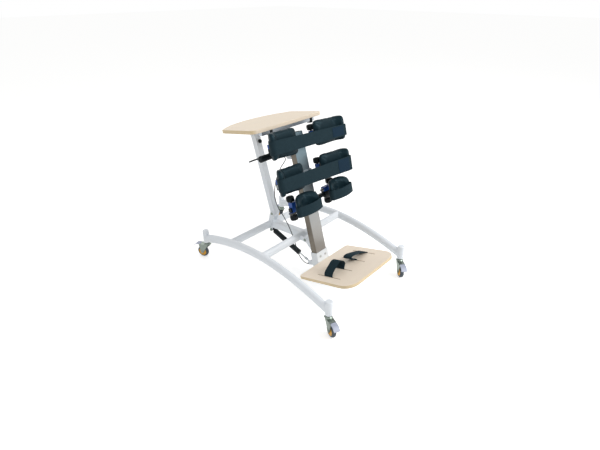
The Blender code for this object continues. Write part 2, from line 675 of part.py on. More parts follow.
def build_column(frame, white, stainless, zinc):
    """Column tube, the bracket that carries it on the pivot bolt, and the lug for the table carrier."""
    half = COLUMN_WIDTH / 2

    def section(shrink):
        left, right = -half + shrink, half - shrink
        front, rear = COLUMN_FRONT + shrink, COLUMN_REAR - shrink
        radius = COLUMN_CORNER - 0.9 * shrink
        return rounded([(left, front, radius), (right, front, radius), (right, rear, radius),
                        (left, rear, radius)], 3)

    tube = prism(section(0), -COLUMN_BELOW_PIVOT, COLUMN_ABOVE_PIVOT, "z")
    bore = prism(section(COLUMN_WALL), -COLUMN_BELOW_PIVOT - GAP * 10, COLUMN_ABOVE_PIVOT + GAP * 10, "z")
    place("column_tube", cut(tube, bore), stainless, frame)

    seat = COLUMN_REAR + GAP
    below = FOOTPLATE_DROP - FOOT_COLLAR_ABOVE - BRACKET_FOOT_GAP
    cheek = hull([(0, 0, PIVOT_BOSS_RADIUS), (seat, BRACKET_ABOVE, 0), (seat, -below, 0)])
    web = block((-BRACKET_HALF + SINK, BRACKET_HALF - SINK), (seat, seat + BRACKET_WEB),
                (-below * 0.9, -below * 0.3))
    bracket = weld(web, *both_sides(cheek, BRACKET_HALF - BRACKET_CHEEK, BRACKET_CHEEK))
    place("column_bracket", cut(bracket, clearance_hole(PIVOT_BOLT_RADIUS, COLUMN_WIDTH, "x")), white, frame)

    tip = (TOP_PIVOT_BACK, TOP_PIVOT_UP, CARRIER_EAR_RADIUS)
    lug = prism(hull([tip, (seat, TOP_PIVOT_UP - CARRIER_EAR_RADIUS, 0),
                      (seat, TOP_PIVOT_UP + CARRIER_EAR_RADIUS, 0)]),
                -COLUMN_LUG_WIDTH / 2, COLUMN_LUG_WIDTH / 2, "x")
    hole = clearance_hole(CARRIER_PIN_RADIUS, COLUMN_LUG_WIDTH, "x", (0, TOP_PIVOT_BACK, TOP_PIVOT_UP))
    place("carrier_lug", cut(lug, hole), white, frame)

    pivot = bolt(PIVOT_BOLT_RADIUS, BOLT_HEAD_RADIUS, BOLT_HEAD_HEIGHT, EAR_INNER + PIVOT_EAR + GAP, "x")
    place("column_pivot_bolt", pivot, zinc, None, (0, PIVOT_Y, PIVOT_Z))


FOOTPLATE_TOP = -FOOTPLATE_DROP
FOOTPLATE_REAR = COLUMN_FRONT - 2 * GAP - FOOT_COLLAR_WALL


def build_footplate(frame, white, beech, webbing):
    """Foot bracket on the column with the spring's lugs, wooden board, steel tray and two foot straps."""
    low = FOOTPLATE_TOP - FOOT_COLLAR_BELOW
    eye = (SPRING_FOOT_BACK, -SPRING_FOOT_DROP, SPRING_LUG_RADIUS)
    root = COLUMN_REAR + GAP + SINK
    arm = hull([eye, (root, -SPRING_FOOT_DROP + 0.030, 0), (root, low + 0.004, 0)])
    bracket = weld(collar(FOOT_COLLAR_WALL, low, FOOTPLATE_TOP + FOOT_COLLAR_ABOVE),
                   *both_sides(arm, SPRING_LUG_INNER, SPRING_LUG))
    place("foot_bracket", bracket, white, frame)

    def outline(margin):
        half = FOOTPLATE_WIDTH / 2 - margin
        rear, front = FOOTPLATE_REAR - margin, FOOTPLATE_REAR - FOOTPLATE_DEPTH + margin
        return rounded([(-half, front, FOOTPLATE_FRONT_CORNER - margin),
                        (half, front, FOOTPLATE_FRONT_CORNER - margin),
                        (half, rear, FOOTPLATE_REAR_CORNER), (-half, rear, FOOTPLATE_REAR_CORNER)], 8)

    bottom = FOOTPLATE_TOP - FOOTPLATE_THICKNESS
    board = prism(outline(0), bottom, FOOTPLATE_TOP, "z")
    slot_rear = FOOTPLATE_REAR - SLOT_START
    for middle in [sign * offset for sign in (-1, 1) for offset in SLOT_OFFSETS]:
        span = (middle - SLOT_WIDTH / 2, middle + SLOT_WIDTH / 2)
        board = cut(board,
                    block(span, (slot_rear - SLOT_LENGTH, slot_rear),
                          (bottom - 0.002, FOOTPLATE_TOP + 0.002)))
    place("footplate_board", board, beech, frame)

    under = bottom - GAP
    arm = block((-TRAY_ARM_WIDTH / 2, TRAY_ARM_WIDTH / 2), (FOOTPLATE_REAR - TRAY_ARM_LENGTH, FOOTPLATE_REAR),
                (under - TRAY_ARM_DEPTH, under - SINK))
    tray = weld(prism(outline(TRAY_MARGIN), under - TRAY_THICKNESS, under, "z"), arm)
    place("footplate_tray", tray, white, frame)

    for name, sign, route in (("foot_strap_left", -1, LEFT_STRAP_ROUTE),
                              ("foot_strap_right", 1, RIGHT_STRAP_ROUTE)):
        place(name, foot_strap(sign, route), webbing, frame)


def foot_strap(sign, route):
    """Webbing loop that leaves the outer slot, crosses the foot and goes down the inner slot."""
    inner, outer = SLOT_OFFSETS
    tail = ((0, -FOOT_STRAP_TAIL), (0, -FOOT_STRAP_TAIL / 2), (0, 0), (0, FOOT_STRAP_TAIL / 3))
    stops = tail + route + tuple((1, rise) for _, rise in reversed(tail))
    points = [Vector((sign * (outer + (inner - outer) * share), FOOTPLATE_TOP + rise))
              for share, rise in stops]
    rear = FOOTPLATE_REAR - FOOT_STRAP_START
    return prism(band(smooth_route(points, 3), FOOT_STRAP_THICKNESS), rear - FOOT_STRAP_WIDTH, rear, "y")


def build_mast(frame, white, black, zinc):
    """Square mast with a round foot, its pivot bolt and its lock knob."""
    half = MAST_SECTION / 2
    top = MAST_LENGTH + MAST_TOP
    side = [(half, top), (-half, top)] + arc((0, 0), half, 180, 360, 10)
    mast = prism(side, -half, half, "x")
    holes = [clearance_hole(r, MAST_SECTION, "x", (0, 0, z))
             for r, z in ((PIVOT_BOLT_RADIUS, 0), (CARRIER_PIN_RADIUS, MAST_LENGTH))]
    place("mast_tube", cut(mast, *holes), white, frame)
    foot = bolt(PIVOT_BOLT_RADIUS, BOLT_HEAD_RADIUS, BOLT_HEAD_HEIGHT, MAST_CHEEK_INNER + MAST_CHEEK + GAP,
                "x")
    place("mast_pivot_bolt", foot, zinc, None, (0, MAST_Y, MAST_Z))
    knob = turned([(0, 0), (MAST_KNOB_RADIUS * 0.5, 0), (MAST_KNOB_RADIUS * 0.5, -MAST_KNOB_LENGTH * 0.3),
                   (MAST_KNOB_RADIUS, -MAST_KNOB_LENGTH * 0.35), (MAST_KNOB_RADIUS, -MAST_KNOB_LENGTH * 0.9),
                   (MAST_KNOB_RADIUS * 0.8, -MAST_KNOB_LENGTH), (0, -MAST_KNOB_LENGTH)], ROUND, "y")
    place("mast_knob", knob, black, frame, (0, -half - GAP, MAST_LENGTH - MAST_KNOB_DROP))


def build_table(frame, white, beech, grey):
    """Table board, the rail under its edge, and the carrier that joins it to the column and the mast."""
    edge_y, edge_z = leaned(TABLE_EDGE_BACK, TABLE_EDGE_RISE, TABLE_SLOPE)
    half = TABLE_WIDTH / 2
    bulge = TABLE_DEPTH - TABLE_END_DEPTH
    radius = (half ** 2 + bulge ** 2) / (2 * bulge)
    spread = math.degrees(math.asin(half / radius))
    curve = arc((0, edge_y + TABLE_DEPTH - radius), radius, 90 - spread, 90 + spread, 20)
    corners = [(-half, edge_y, TABLE_CORNER), (half, edge_y, TABLE_CORNER), curve[0] + (TABLE_OUTER_CORNER,)]
    corners += [point + (0,) for point in curve[3:-3]] + [curve[-1] + (TABLE_OUTER_CORNER,)]
    bottom = edge_z - TABLE_THICKNESS
    place("table_board", prism(rounded(corners), bottom, edge_z, "z"), beech, frame)

    under = bottom - GAP
    rail_y = (edge_y + TABLE_RAIL_INSET, edge_y + TABLE_RAIL_INSET + TABLE_RAIL_SECTION)
    rail = block((-TABLE_RAIL_LENGTH / 2, TABLE_RAIL_LENGTH / 2), rail_y, (under - TABLE_RAIL_SECTION, under))
    place("table_rail", rail, grey, frame)

    inner = MAST_SECTION / 2 + GAP
    outer = inner + CARRIER_CHEEK
    front = rail_y[1] + GAP
    bar = block((-outer - SINK, outer + SINK), (front, front + CARRIER_BAR_LENGTH),
                (under - CARRIER_BAR_HEIGHT, under))
    root = under - CARRIER_BAR_HEIGHT / 2
    leg = hull([(0, 0, CARRIER_EAR_RADIUS)] + [(front + along, root, 0) for along in CARRIER_LEG_TOP])
    span_y, span_z = leaned(MAST_Y - PIVOT_Y, MAST_Z - PIVOT_Z, TABLE_SLOPE)
    ear = hull([(span_y, span_z, CARRIER_EAR_RADIUS), (span_y - CARRIER_EAR_RADIUS * 1.5, root, 0),
                (min(span_y + CARRIER_EAR_RADIUS * 1.5, front + CARRIER_BAR_LENGTH - SINK), root, 0)])
    pins = [rod(CARRIER_PIN_RADIUS, -outer - 0.002, outer + 0.002, "x", (0, y, z))
            for y, z in ((0, 0), (span_y, span_z))]
    plates = both_sides(leg, inner, CARRIER_CHEEK) + both_sides(ear, inner, CARRIER_CHEEK)
    place("table_carrier", weld(bar, *plates, *pins), white, frame)


def build_spring(black, steel):
    """Lockable gas spring: cylinder on the base's pin, and rod with its release head and lower eye."""
    foot_dy, foot_dz = unleaned(SPRING_FOOT_BACK, -SPRING_FOOT_DROP, COLUMN_LEAN)
    dy, dz = PIVOT_Y + foot_dy - SPRING_Y, PIVOT_Z + foot_dz - SPRING_Z
    reach = math.hypot(dy, dz)
    frame = empty("spring_axis", (0, SPRING_Y, SPRING_Z), lean=-math.degrees(math.atan2(-dz, -dy)))
    end = SPRING_START + SPRING_LENGTH
    body = turned([(0, -0.006), (0.006, -0.006), (0.006, -SPRING_START),
                   (SPRING_RADIUS - 0.002, -SPRING_START),
                   (SPRING_RADIUS, -SPRING_START - 0.003), (SPRING_RADIUS, -end + 0.003),
                   (SPRING_RADIUS - 0.002, -end), (0, -end)], ROUND, "y")
    eye = rod(SPRING_EYE_RADIUS, -SPRING_EYE_WIDTH / 2, SPRING_EYE_WIDTH / 2, "x")
    bore = rod((ROD_RADIUS + GAP) / math.cos(math.pi / ROUND), -end - 0.005, -end + SPRING_BORE_DEPTH, "y")
    cylinder = cut(weld(eye, body), bore, clearance_hole(SPRING_PIN_RADIUS, SPRING_EYE_WIDTH, "x"))
    place("spring_cylinder", cylinder, black, frame)

    head = reach - RELEASE_HEAD_BACK
    shaft = turned([(0, -end + ROD_INSIDE), (ROD_RADIUS, -end + ROD_INSIDE),
                    (ROD_RADIUS, -head + RELEASE_HEAD_LENGTH),
                    (RELEASE_HEAD_RADIUS, -head + RELEASE_HEAD_LENGTH), (RELEASE_HEAD_RADIUS, -head),
                    (ROD_RADIUS, -head), (ROD_RADIUS, -reach + 0.004), (0, -reach + 0.004)], ROUND, "y")
    lower_eye = rod(SPRING_EYE_RADIUS, -SPRING_EYE_WIDTH / 2, SPRING_EYE_WIDTH / 2, "x", (0, -reach, 0))
    place("spring_rod", weld(lower_eye, shaft), steel, frame)


HANDLE_BACK = (COLUMN_FRONT + COLUMN_REAR) / 2
LEVER_PIVOT = (-LEVER_PIVOT_X, HANDLE_BACK + LEVER_PIVOT_BACK)


def build_handles(frame, steel, black):
    """Push handles on the column's sides, their rubber grips and the release lever behind the left grip."""
    axis = (0, HANDLE_BACK, HANDLE_HEIGHT)
    start = COLUMN_WIDTH / 2 + GAP
    bore = (HANDLE_RADIUS + GAP) / math.cos(math.pi / ROUND)
    for side, sign in (("left", -1), ("right", 1)):
        collars = [(start, start + HANDLE_COLLAR_LENGTH)]
        if side == "left":
            collars.append((LEVER_PIVOT_X - LEVER_CLAMP / 2, LEVER_PIVOT_X + LEVER_CLAMP / 2))
        profile = [(0, start)]
        for first, last in collars:
            profile += [(HANDLE_RADIUS, first), (HANDLE_COLLAR_RADIUS, first), (HANDLE_COLLAR_RADIUS, last),
                        (HANDLE_RADIUS, last)]
        profile += [(HANDLE_RADIUS, HANDLE_REACH), (0, HANDLE_REACH)]
        tube = turned([(r, sign * h) for r, h in profile], ROUND, "x", axis)
        if side == "left":
            tube = weld(tube, *lever_ears())
        place("handle_" + side, tube, steel, frame)
        cap = HANDLE_REACH + GRIP_CAP
        profile = [(0, cap), (GRIP_RADIUS * 0.75, cap), (GRIP_RADIUS, cap - 0.004),
                   (GRIP_RADIUS, GRIP_START + 0.004),
                   (GRIP_RADIUS * 0.9, GRIP_START), (bore, GRIP_START), (bore, HANDLE_REACH + GAP),
                   (0, HANDLE_REACH + GAP)]
        place("grip_" + side, turned([(r, sign * h) for r, h in profile], ROUND, "x", axis), black, frame)

    tip = -LEVER_REACH - LEVER_PIVOT[0]
    middle = (GRIP_START + HANDLE_REACH) / -2 - LEVER_PIVOT[0]
    spread = LEVER_SPREAD - LEVER_PIVOT_BACK
    blade = [(0, 0.003), (middle, spread * 0.75 + LEVER_BLADE / 2), (tip * 0.85, spread + LEVER_BLADE / 2),
             (tip, spread - LEVER_BLADE), (tip * 0.85, spread - LEVER_BLADE / 2),
             (middle, spread * 0.75 - LEVER_BLADE / 2), (0, -0.005)]
    half = LEVER_THICKNESS / 2
    boss = rod(LEVER_BOSS_RADIUS, -half, half, "z")
    lever = weld(boss, prism(blade, -half + SINK, half - SINK, "z"))
    lever = cut(lever, clearance_hole(LEVER_PIN_RADIUS, LEVER_THICKNESS, "z"))
    place("release_lever", lever, steel, frame, (LEVER_PIVOT[0], LEVER_PIVOT[1], HANDLE_HEIGHT))


def lever_ears():
    """Two ears behind the left handle's clamp, and the pin for the release lever."""
    ear = hull([LEVER_PIVOT + (LEVER_BOSS_RADIUS,), (LEVER_PIVOT[0], HANDLE_BACK, HANDLE_RADIUS * 0.5)])
    low = LEVER_THICKNESS / 2 + RUN
    spans = ((low, low + LEVER_EAR), (-low - LEVER_EAR, -low))
    ears = [prism(ear, HANDLE_HEIGHT + a, HANDLE_HEIGHT + b, "z") for a, b in spans]
    pin = rod(LEVER_PIN_RADIUS, -low - LEVER_EAR / 2, low + LEVER_EAR / 2, "z",
              LEVER_PIVOT + (HANDLE_HEIGHT,))
    return [*ears, pin]


def smooth_route(points, steps):
    """Read points from a smooth curve through a route's own points (Catmull-Rom)."""
    ends = [2 * points[0] - points[1]] + points + [2 * points[-1] - points[-2]]
    route = []
    for a, b, c, d in zip(ends, ends[1:], ends[2:], ends[3:]):
        for i in range(steps):
            t = i / steps
            route.append(0.5 * (2 * b + (c - a) * t + (2 * a - 5 * b + 4 * c - d) * t ** 2
                                + (3 * b - a - 3 * c + d) * t ** 3))
    return route + [points[-1]]


def build_cable(frame, black):
    """Release cable from the lever's clamp to the gas spring's head, with a slack bow behind the pads."""
    under_clamp = HANDLE_HEIGHT - LEVER_THICKNESS / 2 - 3 * RUN - LEVER_EAR
    lug_side = -SPRING_LUG_INNER - SPRING_LUG - CABLE_RADIUS - GAP
    stops = [(*LEVER_PIVOT, under_clamp), (*LEVER_PIVOT, under_clamp - 0.010), (-0.085, -0.024, 0.530),
             (-0.056, 0.010, 0.500), (-0.050, 0.064, 0.460),
             (-0.050, 0.115, 0.405), (-0.050, 0.156, 0.3415), (-0.050, 0.182, 0.270), (-0.050, 0.174, 0.204),
             (-0.050, 0.144, 0.150), (-0.050, 0.118, 0.092), (-0.048, 0.103, 0.030), (-0.042, 0.098, -0.050),
             (-0.034, 0.098, -0.115), (-0.027, 0.088, -0.153), (-0.022, 0.068, -0.176),
             (lug_side, SPRING_FOOT_BACK + 0.004, -SPRING_FOOT_DROP - 0.004)]
    route = smooth_route([Vector(stop) for stop in stops], 4)
    curve = bpy.data.curves.new("release_cable", "CURVE")
    curve.dimensions = "3D"
    curve.bevel_depth = CABLE_RADIUS
    curve.bevel_resolution = 2
    curve.use_fill_caps = True
    spline = curve.splines.new("POLY")
    spline.points.add(len(route) - 1)
    for point, spot in zip(spline.points, route):
        point.co = (*spot, 1.0)
    curve.materials.append(black)
    cable = bpy.data.objects.new("release_cable", curve)
    cable.parent = frame
    bpy.context.scene.collection.objects.link(cable)


def carriage(collar_span, bar_section, bar_length, bar_height, stand_off):
    """Collar on the column with a cross bar held in front of it. Returns the mesh and the bar's axis."""
    front = COLUMN_FRONT - GAP - SUPPORT_COLLAR_WALL
    bar_rear = front - stand_off
    bar_front = bar_rear - bar_section
    half = bar_section / 2
    bar = block((-bar_length / 2, bar_length / 2), (bar_front, bar_rear),
                (bar_height - half, bar_height + half))
    spacer = block((-SUPPORT_SPACER_WIDTH / 2, SUPPORT_SPACER_WIDTH / 2), (bar_rear - SINK, front + SINK),
                   (bar_height - half * 0.8, bar_height + half * 0.8))
    low, high = (bar_height + end for end in collar_span)
    return weld(collar(SUPPORT_COLLAR_WALL, low, high), spacer, bar), bar_rear - half


def sleeve(sign, start, length, section, axis_y, axis_z):
    """Square sleeve that slides along a cross bar."""
    inner = section / 2 + GAP
    outer = inner + SLIDER_WALL
    x = sorted((sign * start, sign * (start + length)))
    outside = block(x, (axis_y - outer, axis_y + outer), (axis_z - outer, axis_z + outer))
    longer = (x[0] - SLIDER_WALL, x[1] + SLIDER_WALL)
    return cut(outside, block(longer, (axis_y - inner, axis_y + inner), (axis_z - inner, axis_z + inner)))


def knob(radius, x, y, seat, direction):
    """Clamping knob on a short stem, standing up or hanging down from its seat."""
    base = seat + direction * KNOB_STEM
    tip = base + direction * KNOB_HEIGHT
    profile = [(0, seat - direction * SINK), (KNOB_STEM_RADIUS, seat - direction * SINK),
               (KNOB_STEM_RADIUS, base),
               (radius * 0.85, base), (radius, base + direction * KNOB_HEIGHT * 0.3),
               (radius, tip - direction * KNOB_HEIGHT * 0.25), (radius * 0.7, tip), (0, tip)]
    return turned(profile, SMALL_ROUND, "z", (x, y, 0))


def curl(s):
    """Middle line of a chest or hip pad, straight and then curling forward: the point and the normal."""
    turn = max(0.0, s - PAD_STRAIGHT) / PAD_CURL_RADIUS
    x = min(s, PAD_STRAIGHT) + PAD_CURL_RADIUS * math.sin(turn)
    return (x, -PAD_CURL_RADIUS * (1 - math.cos(turn))), (-math.sin(turn), -math.cos(turn))


def cup(s):
    """Middle line of a knee cup: an arc about its middle, both ends curling forward."""
    turn = (s - KNEE_CUP_LENGTH / 2) / KNEE_CUP_RADIUS
    return ((KNEE_CUP_RADIUS * math.sin(turn), -KNEE_CUP_RADIUS * (1 - math.cos(turn))),
            (-math.sin(turn), -math.cos(turn)))


def cushion(line, sign, length, height, thickness, corner_power, origin):
    """Crowned pad with rounded corners and drawn-in sides, bent along a middle line.

    Each ring is a superellipse; its size and its depth follow a second superellipse from the crown at the
    front, round the edge, to the middle of the back.
    """
    shape = bmesh.new()

    def vertex(s, z, depth):
        (x, y), (nx, ny) = line(s)
        return shape.verts.new((sign * (origin[0] + x + depth * nx), origin[1] + y + depth * ny, z))

    def power(value, exponent):
        return math.copysign(abs(value) ** exponent, value)

    rings = [[vertex(length / 2, 0, thickness / 2)]]
    for level in PAD_RINGS:
        tilt = math.radians(level)
        size = power(math.cos(tilt), 2 / PAD_EDGE_POWER)
        depth = thickness / 2 * power(math.sin(tilt), 2 / PAD_EDGE_POWER)
        ring = []
        for i in range(PAD_SEGMENTS):
            t = 2 * math.pi * i / PAD_SEGMENTS
            pull = size * (1 - PAD_DRAWN_IN * math.cos(2 * t) ** 2)
            s = length / 2 * (1 + pull * power(math.cos(t), 2 / corner_power))
            ring.append(vertex(s, height / 2 * pull * power(math.sin(t), 2 / corner_power), depth))
        rings.append(ring)
    rings.append([vertex(length / 2, 0, -thickness / 2)])
    for first, second in zip(rings, rings[1:]):
        for i in range(PAD_SEGMENTS):
            j = (i + 1) % PAD_SEGMENTS
            quad = [first[i % len(first)], first[j % len(first)], second[j % len(second)],
                    second[i % len(second)]]
            shape.faces.new(list(dict.fromkeys(quad)))
    return to_mesh(shape)


def tip_turn(line, length, offset, origin_x, origin_y):
    """Points of a strap that runs along a pad's back and turns round its outer tip to the front."""
    centre_s = length - STRAP_TURN_INSET
    (x, y), (nx, ny) = line(centre_s)
    back = math.degrees(math.atan2(-ny, -nx))
    return arc((origin_x + x, origin_y + y), offset, back, -90, 10)


def back_run(line, first, last, offset, origin_x, origin_y, steps):
    """Points of a strap along a pad's back."""
    points = []
    for i in range(steps):
        (x, y), (nx, ny) = line(first + (last - first) * i / steps)
        points.append((origin_x + x - offset * nx, origin_y + y - offset * ny))
    return points


def band(path, thickness):
    """Give the closed outline of a flat strap that follows a path."""
    left, right = [], []
    for i, here in enumerate(path):
        before = path[max(i - 1, 0)]
        after = path[min(i + 1, len(path) - 1)]
        along = (Vector(after) - Vector(before)).normalized()
        side = Vector((-along.y, along.x)) * thickness / 2
        left.append(tuple(Vector(here) + side))
        right.append(tuple(Vector(here) - side))
    return left + right[::-1]


def build_support(name, frame, collar_span, bar_height, pad_rise, finishes):
    """Chest or hip support: carriage, two sliders with knobs, two wing pads and the strap between them."""
    grey, blue, foam, webbing = finishes
    mesh, bar_y = carriage(collar_span, SUPPORT_BAR_SECTION, SUPPORT_BAR_LENGTH, bar_height,
                           SUPPORT_BAR_STAND_OFF)
    place(name + "_carriage", mesh, grey, frame, smooth=False)

    reach = SUPPORT_BAR_SECTION / 2 + GAP + SLIDER_WALL
    slider_front = bar_y - reach
    pad_back = slider_front - PAD_STAND_OFF
    pad_y = pad_back - GAP - PAD_THICKNESS / 2
    pads = empty(name + "_pads", (0, 0, bar_height + pad_rise))
    pads.parent = frame
    pads.rotation_euler = (0, math.radians(PAD_ROLL), 0)
    offset = PAD_THICKNESS / 2 + STRAP_THICKNESS / 2 + RUN
    for side, sign, out, drop in (("left", -1, LEFT_SETTING, LEFT_PAD_DROP), ("right", 1, 0, 0)):
        start = SLIDER_START + out
        body = sleeve(sign, start, SLIDER_LENGTH, SUPPORT_BAR_SECTION, bar_y, bar_height)
        top = bar_height + reach + SLIDER_BLOCK_HEIGHT
        upright = block(sorted((sign * (start + SINK), sign * (start + SLIDER_LENGTH - SINK))),
                        (slider_front + SINK, bar_y + reach - SINK), (bar_height + reach - SINK, top))
        boss_x = (start + SLIDER_BOSS_START, start + SLIDER_BOSS_START + SLIDER_BOSS_WIDTH)
        boss = block(sorted(sign * x for x in boss_x), (pad_back - PAD_CROWN_FALL, slider_front + 2 * SINK),
                     (bar_height - SLIDER_BOSS_HEIGHT / 2, bar_height + SLIDER_BOSS_HEIGHT / 2))
        handle = knob(KNOB_RADIUS, sign * (start + KNOB_INSET), bar_y, top, 1)
        place(name + "_slider_" + side, weld(body, upright, boss, handle), blue, frame)
        pad = cushion(curl, sign, PAD_LENGTH, PAD_HEIGHT, PAD_THICKNESS, PAD_CORNER_POWER,
                      (PAD_INNER_END + out, pad_y))
        place(name + "_pad_" + side, pad, foam, pads, (0, 0, -drop))

    turn_s = PAD_LENGTH - STRAP_TURN_INSET
    back = back_run(curl, turn_s - STRAP_HOLD, turn_s, offset, PAD_INNER_END, pad_y, 8)
    turn = tip_turn(curl, PAD_LENGTH, offset, PAD_INNER_END, pad_y)
    end = (turn[-1][0] + STRAP_LAP, turn[-1][1])
    path = [(-x - LEFT_SETTING, y) for x, y in back + turn] + [(0, turn[-1][1]), end]
    low = -STRAP_DROP - STRAP_HEIGHT / 2
    place(name + "_strap", prism(band(path, STRAP_THICKNESS), low, low + STRAP_HEIGHT, "z"), webbing, pads)


def build_knees(frame, finishes):
    """Knee support: carriage, two sliders with a knob above and below, two cups and their straps."""
    grey, blue, foam, webbing = finishes
    mesh, bar_y = carriage(KNEE_COLLAR, KNEE_BAR_SECTION, KNEE_BAR_LENGTH, KNEE_BAR_HEIGHT, KNEE_STAND_OFF)
    place("knee_carriage", mesh, grey, frame, smooth=False)
    reach = KNEE_BAR_SECTION / 2 + GAP + SLIDER_WALL
    front = bar_y - reach
    block_top = KNEE_BAR_HEIGHT + reach + KNEE_BLOCK_HEIGHT
    cup_back = front - KNEE_BOSS_LENGTH
    cup_y = cup_back - GAP - KNEE_CUP_THICKNESS / 2
    middle = KNEE_SLIDER_START + KNEE_SLIDER_LENGTH / 2
    offset = KNEE_CUP_THICKNESS / 2 + STRAP_THICKNESS / 2 + RUN - KNEE_CUP_FALL
    for side, sign, above, below in zip(("left", "right"), (-1, 1), KNEE_UPPER_KNOBS, KNEE_LOWER_KNOBS):
        body = sleeve(sign, KNEE_SLIDER_START, KNEE_SLIDER_LENGTH, KNEE_BAR_SECTION, bar_y, KNEE_BAR_HEIGHT)
        x = sorted((sign * (KNEE_SLIDER_START + SINK),
                    sign * (KNEE_SLIDER_START + KNEE_SLIDER_LENGTH - SINK)))
        upper = block(x, (front + SINK, front + 2 * reach - SINK),
                      (KNEE_BAR_HEIGHT + reach - SINK, block_top))
        boss = block((sign * middle - KNEE_BOSS_WIDTH / 2, sign * middle + KNEE_BOSS_WIDTH / 2),
                     (cup_back, front + 2 * SINK),
                     (KNEE_BAR_HEIGHT + reach - 0.010, block_top - SINK))
        foot = KNEE_BAR_HEIGHT - reach - KNEE_FOOT_HEIGHT
        lower = block((below - KNEE_KNOB_RADIUS, below + KNEE_KNOB_RADIUS),
                      (front + 2 * SINK, front + 2 * reach - 2 * SINK),
                      (foot, KNEE_BAR_HEIGHT - reach + SINK))
        knobs = [knob(KNEE_KNOB_RADIUS, above, bar_y, block_top, 1),
                 knob(KNEE_KNOB_RADIUS, below, bar_y, foot, -1)]
        place("knee_slider_" + side, weld(body, upper, lower, boss, *knobs), blue, frame)
        cups = empty("knee_cup_centre_" + side, (sign * middle, 0, KNEE_BAR_HEIGHT + KNEE_CUP_RISE))
        cups.parent = frame
        pad = cushion(cup, 1, KNEE_CUP_LENGTH, KNEE_CUP_HEIGHT, KNEE_CUP_THICKNESS, KNEE_CUP_CORNER_POWER,
                      (0, cup_y))
        place("knee_cup_" + side, pad, foam, cups)
        turn_s = KNEE_CUP_LENGTH - STRAP_TURN_INSET
        half = (back_run(cup, turn_s - KNEE_STRAP_HOLD, turn_s, offset, 0, cup_y, 5)
                + tip_turn(cup, KNEE_CUP_LENGTH, offset, 0, cup_y))
        path = [(-a, b) for a, b in half] + half[::-1]
        low = -KNEE_STRAP_DROP - KNEE_STRAP_HEIGHT / 2
        strap = prism(band(path, STRAP_THICKNESS), low, low + KNEE_STRAP_HEIGHT, "z")
        place("knee_strap_" + side, strap, webbing, cups)


def main():
    for item in list(bpy.data.objects):
        bpy.data.objects.remove(item)
    white = material("white powder coat", "#E6EBEF", 0.35)
    zinc = material("zinc plated steel", "#9AA3A0", 0.35, 0.9)
    stainless = material("polished stainless steel", "#B4AEA8", 0.12, 1.0)
    steel = material("bright steel", "#C4C8CA", 0.25, 1.0)
    rubber = material("blue-grey rubber tyre", "#3B4650", 0.7)
    lilac = material("lilac-grey pressed steel", "#A9AFC0", 0.4, 0.5)
    beech = material("lacquered beech", "#E8D5B7", 0.45)
    black = material("black moulded plastic", "#1B2024", 0.5)
    blue = material("royal blue plastic", "#1B4FA0", 0.4)
    grey = material("dark painted steel", "#3A4248", 0.45, 0.3)
    rail_grey = material("light grey aluminium", "#B9C0C6", 0.35, 0.8)
    foam = material("black integral-skin foam", "#20292F", 0.42)
    webbing = material("black webbing", "#25313A", 0.85)

    build_rails(white)
    build_crossbars(white)
    build_spine(white)
    build_casters(zinc, rubber, lilac)
    column = empty("column_axis", (0, PIVOT_Y, PIVOT_Z), lean=COLUMN_LEAN)
    build_column(column, white, stainless, zinc)
    build_footplate(column, white, beech, webbing)
    build_handles(column, steel, black)
    build_cable(column, black)
    build_mast(empty("mast_axis", (0, MAST_Y, MAST_Z), lean=MAST_LEAN), white, black, zinc)
    build_table(empty("carrier_axis", (0, TOP_PIVOT_Y, TOP_PIVOT_Z), lean=TABLE_SLOPE), white, beech,
                rail_grey)
    build_spring(black, steel)
    finishes = (grey, blue, foam, webbing)
    build_support("chest", column, CHEST_COLLAR, CHEST_BAR_HEIGHT, CHEST_PAD_RISE, finishes)
    build_support("hip", column, HIP_COLLAR, HIP_BAR_HEIGHT, HIP_PAD_RISE, finishes)
    build_knees(column, finishes)


main()
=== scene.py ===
"""Finishes, pads, straps and stage for a tilting standing frame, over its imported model."""
import json
import math

import bmesh
import bpy
import numpy as np
from bpy.props import FloatProperty, FloatVectorProperty, IntProperty, PointerProperty
from mathutils import Matrix


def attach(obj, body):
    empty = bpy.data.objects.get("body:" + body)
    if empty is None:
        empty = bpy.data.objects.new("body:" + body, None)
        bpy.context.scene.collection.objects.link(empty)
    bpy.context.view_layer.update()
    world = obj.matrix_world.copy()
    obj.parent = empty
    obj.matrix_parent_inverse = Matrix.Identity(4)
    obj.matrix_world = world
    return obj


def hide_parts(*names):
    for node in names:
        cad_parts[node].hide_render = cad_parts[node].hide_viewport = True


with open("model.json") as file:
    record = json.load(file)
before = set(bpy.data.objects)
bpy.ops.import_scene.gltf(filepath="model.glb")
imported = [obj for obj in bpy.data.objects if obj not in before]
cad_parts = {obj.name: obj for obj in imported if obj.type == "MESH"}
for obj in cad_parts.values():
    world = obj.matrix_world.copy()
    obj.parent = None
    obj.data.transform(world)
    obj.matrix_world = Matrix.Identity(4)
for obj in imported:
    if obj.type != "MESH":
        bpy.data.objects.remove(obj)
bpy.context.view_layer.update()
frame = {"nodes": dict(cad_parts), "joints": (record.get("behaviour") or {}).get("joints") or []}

bl_info = {
    "name": "Tilting standing frame",
    "version": (1, 0, 0),
    "blender": (4, 5, 0),
    "location": "3D View > Sidebar > Standing frame",
    "description": "Dresses the packed standing frame with finishes, pads, straps and a studio stage",
    "category": "Object",
}

NODES = frame["nodes"]
JOINTS = {joint["name"]: joint for joint in frame["joints"]}
CORNERS = ("front_left", "front_right", "rear_left", "rear_right")

# Column: its pivot on the base, its lean from upright, the way up along it and its front face
PIVOT = np.array(JOINTS["tilt"]["pos_m"])
LEAN = math.atan2(*JOINTS["chest_lift"]["axis"][1:])
UPWARD = (0.0, math.sin(LEAN), math.cos(LEAN))
COLUMN_FRONT = -0.0753

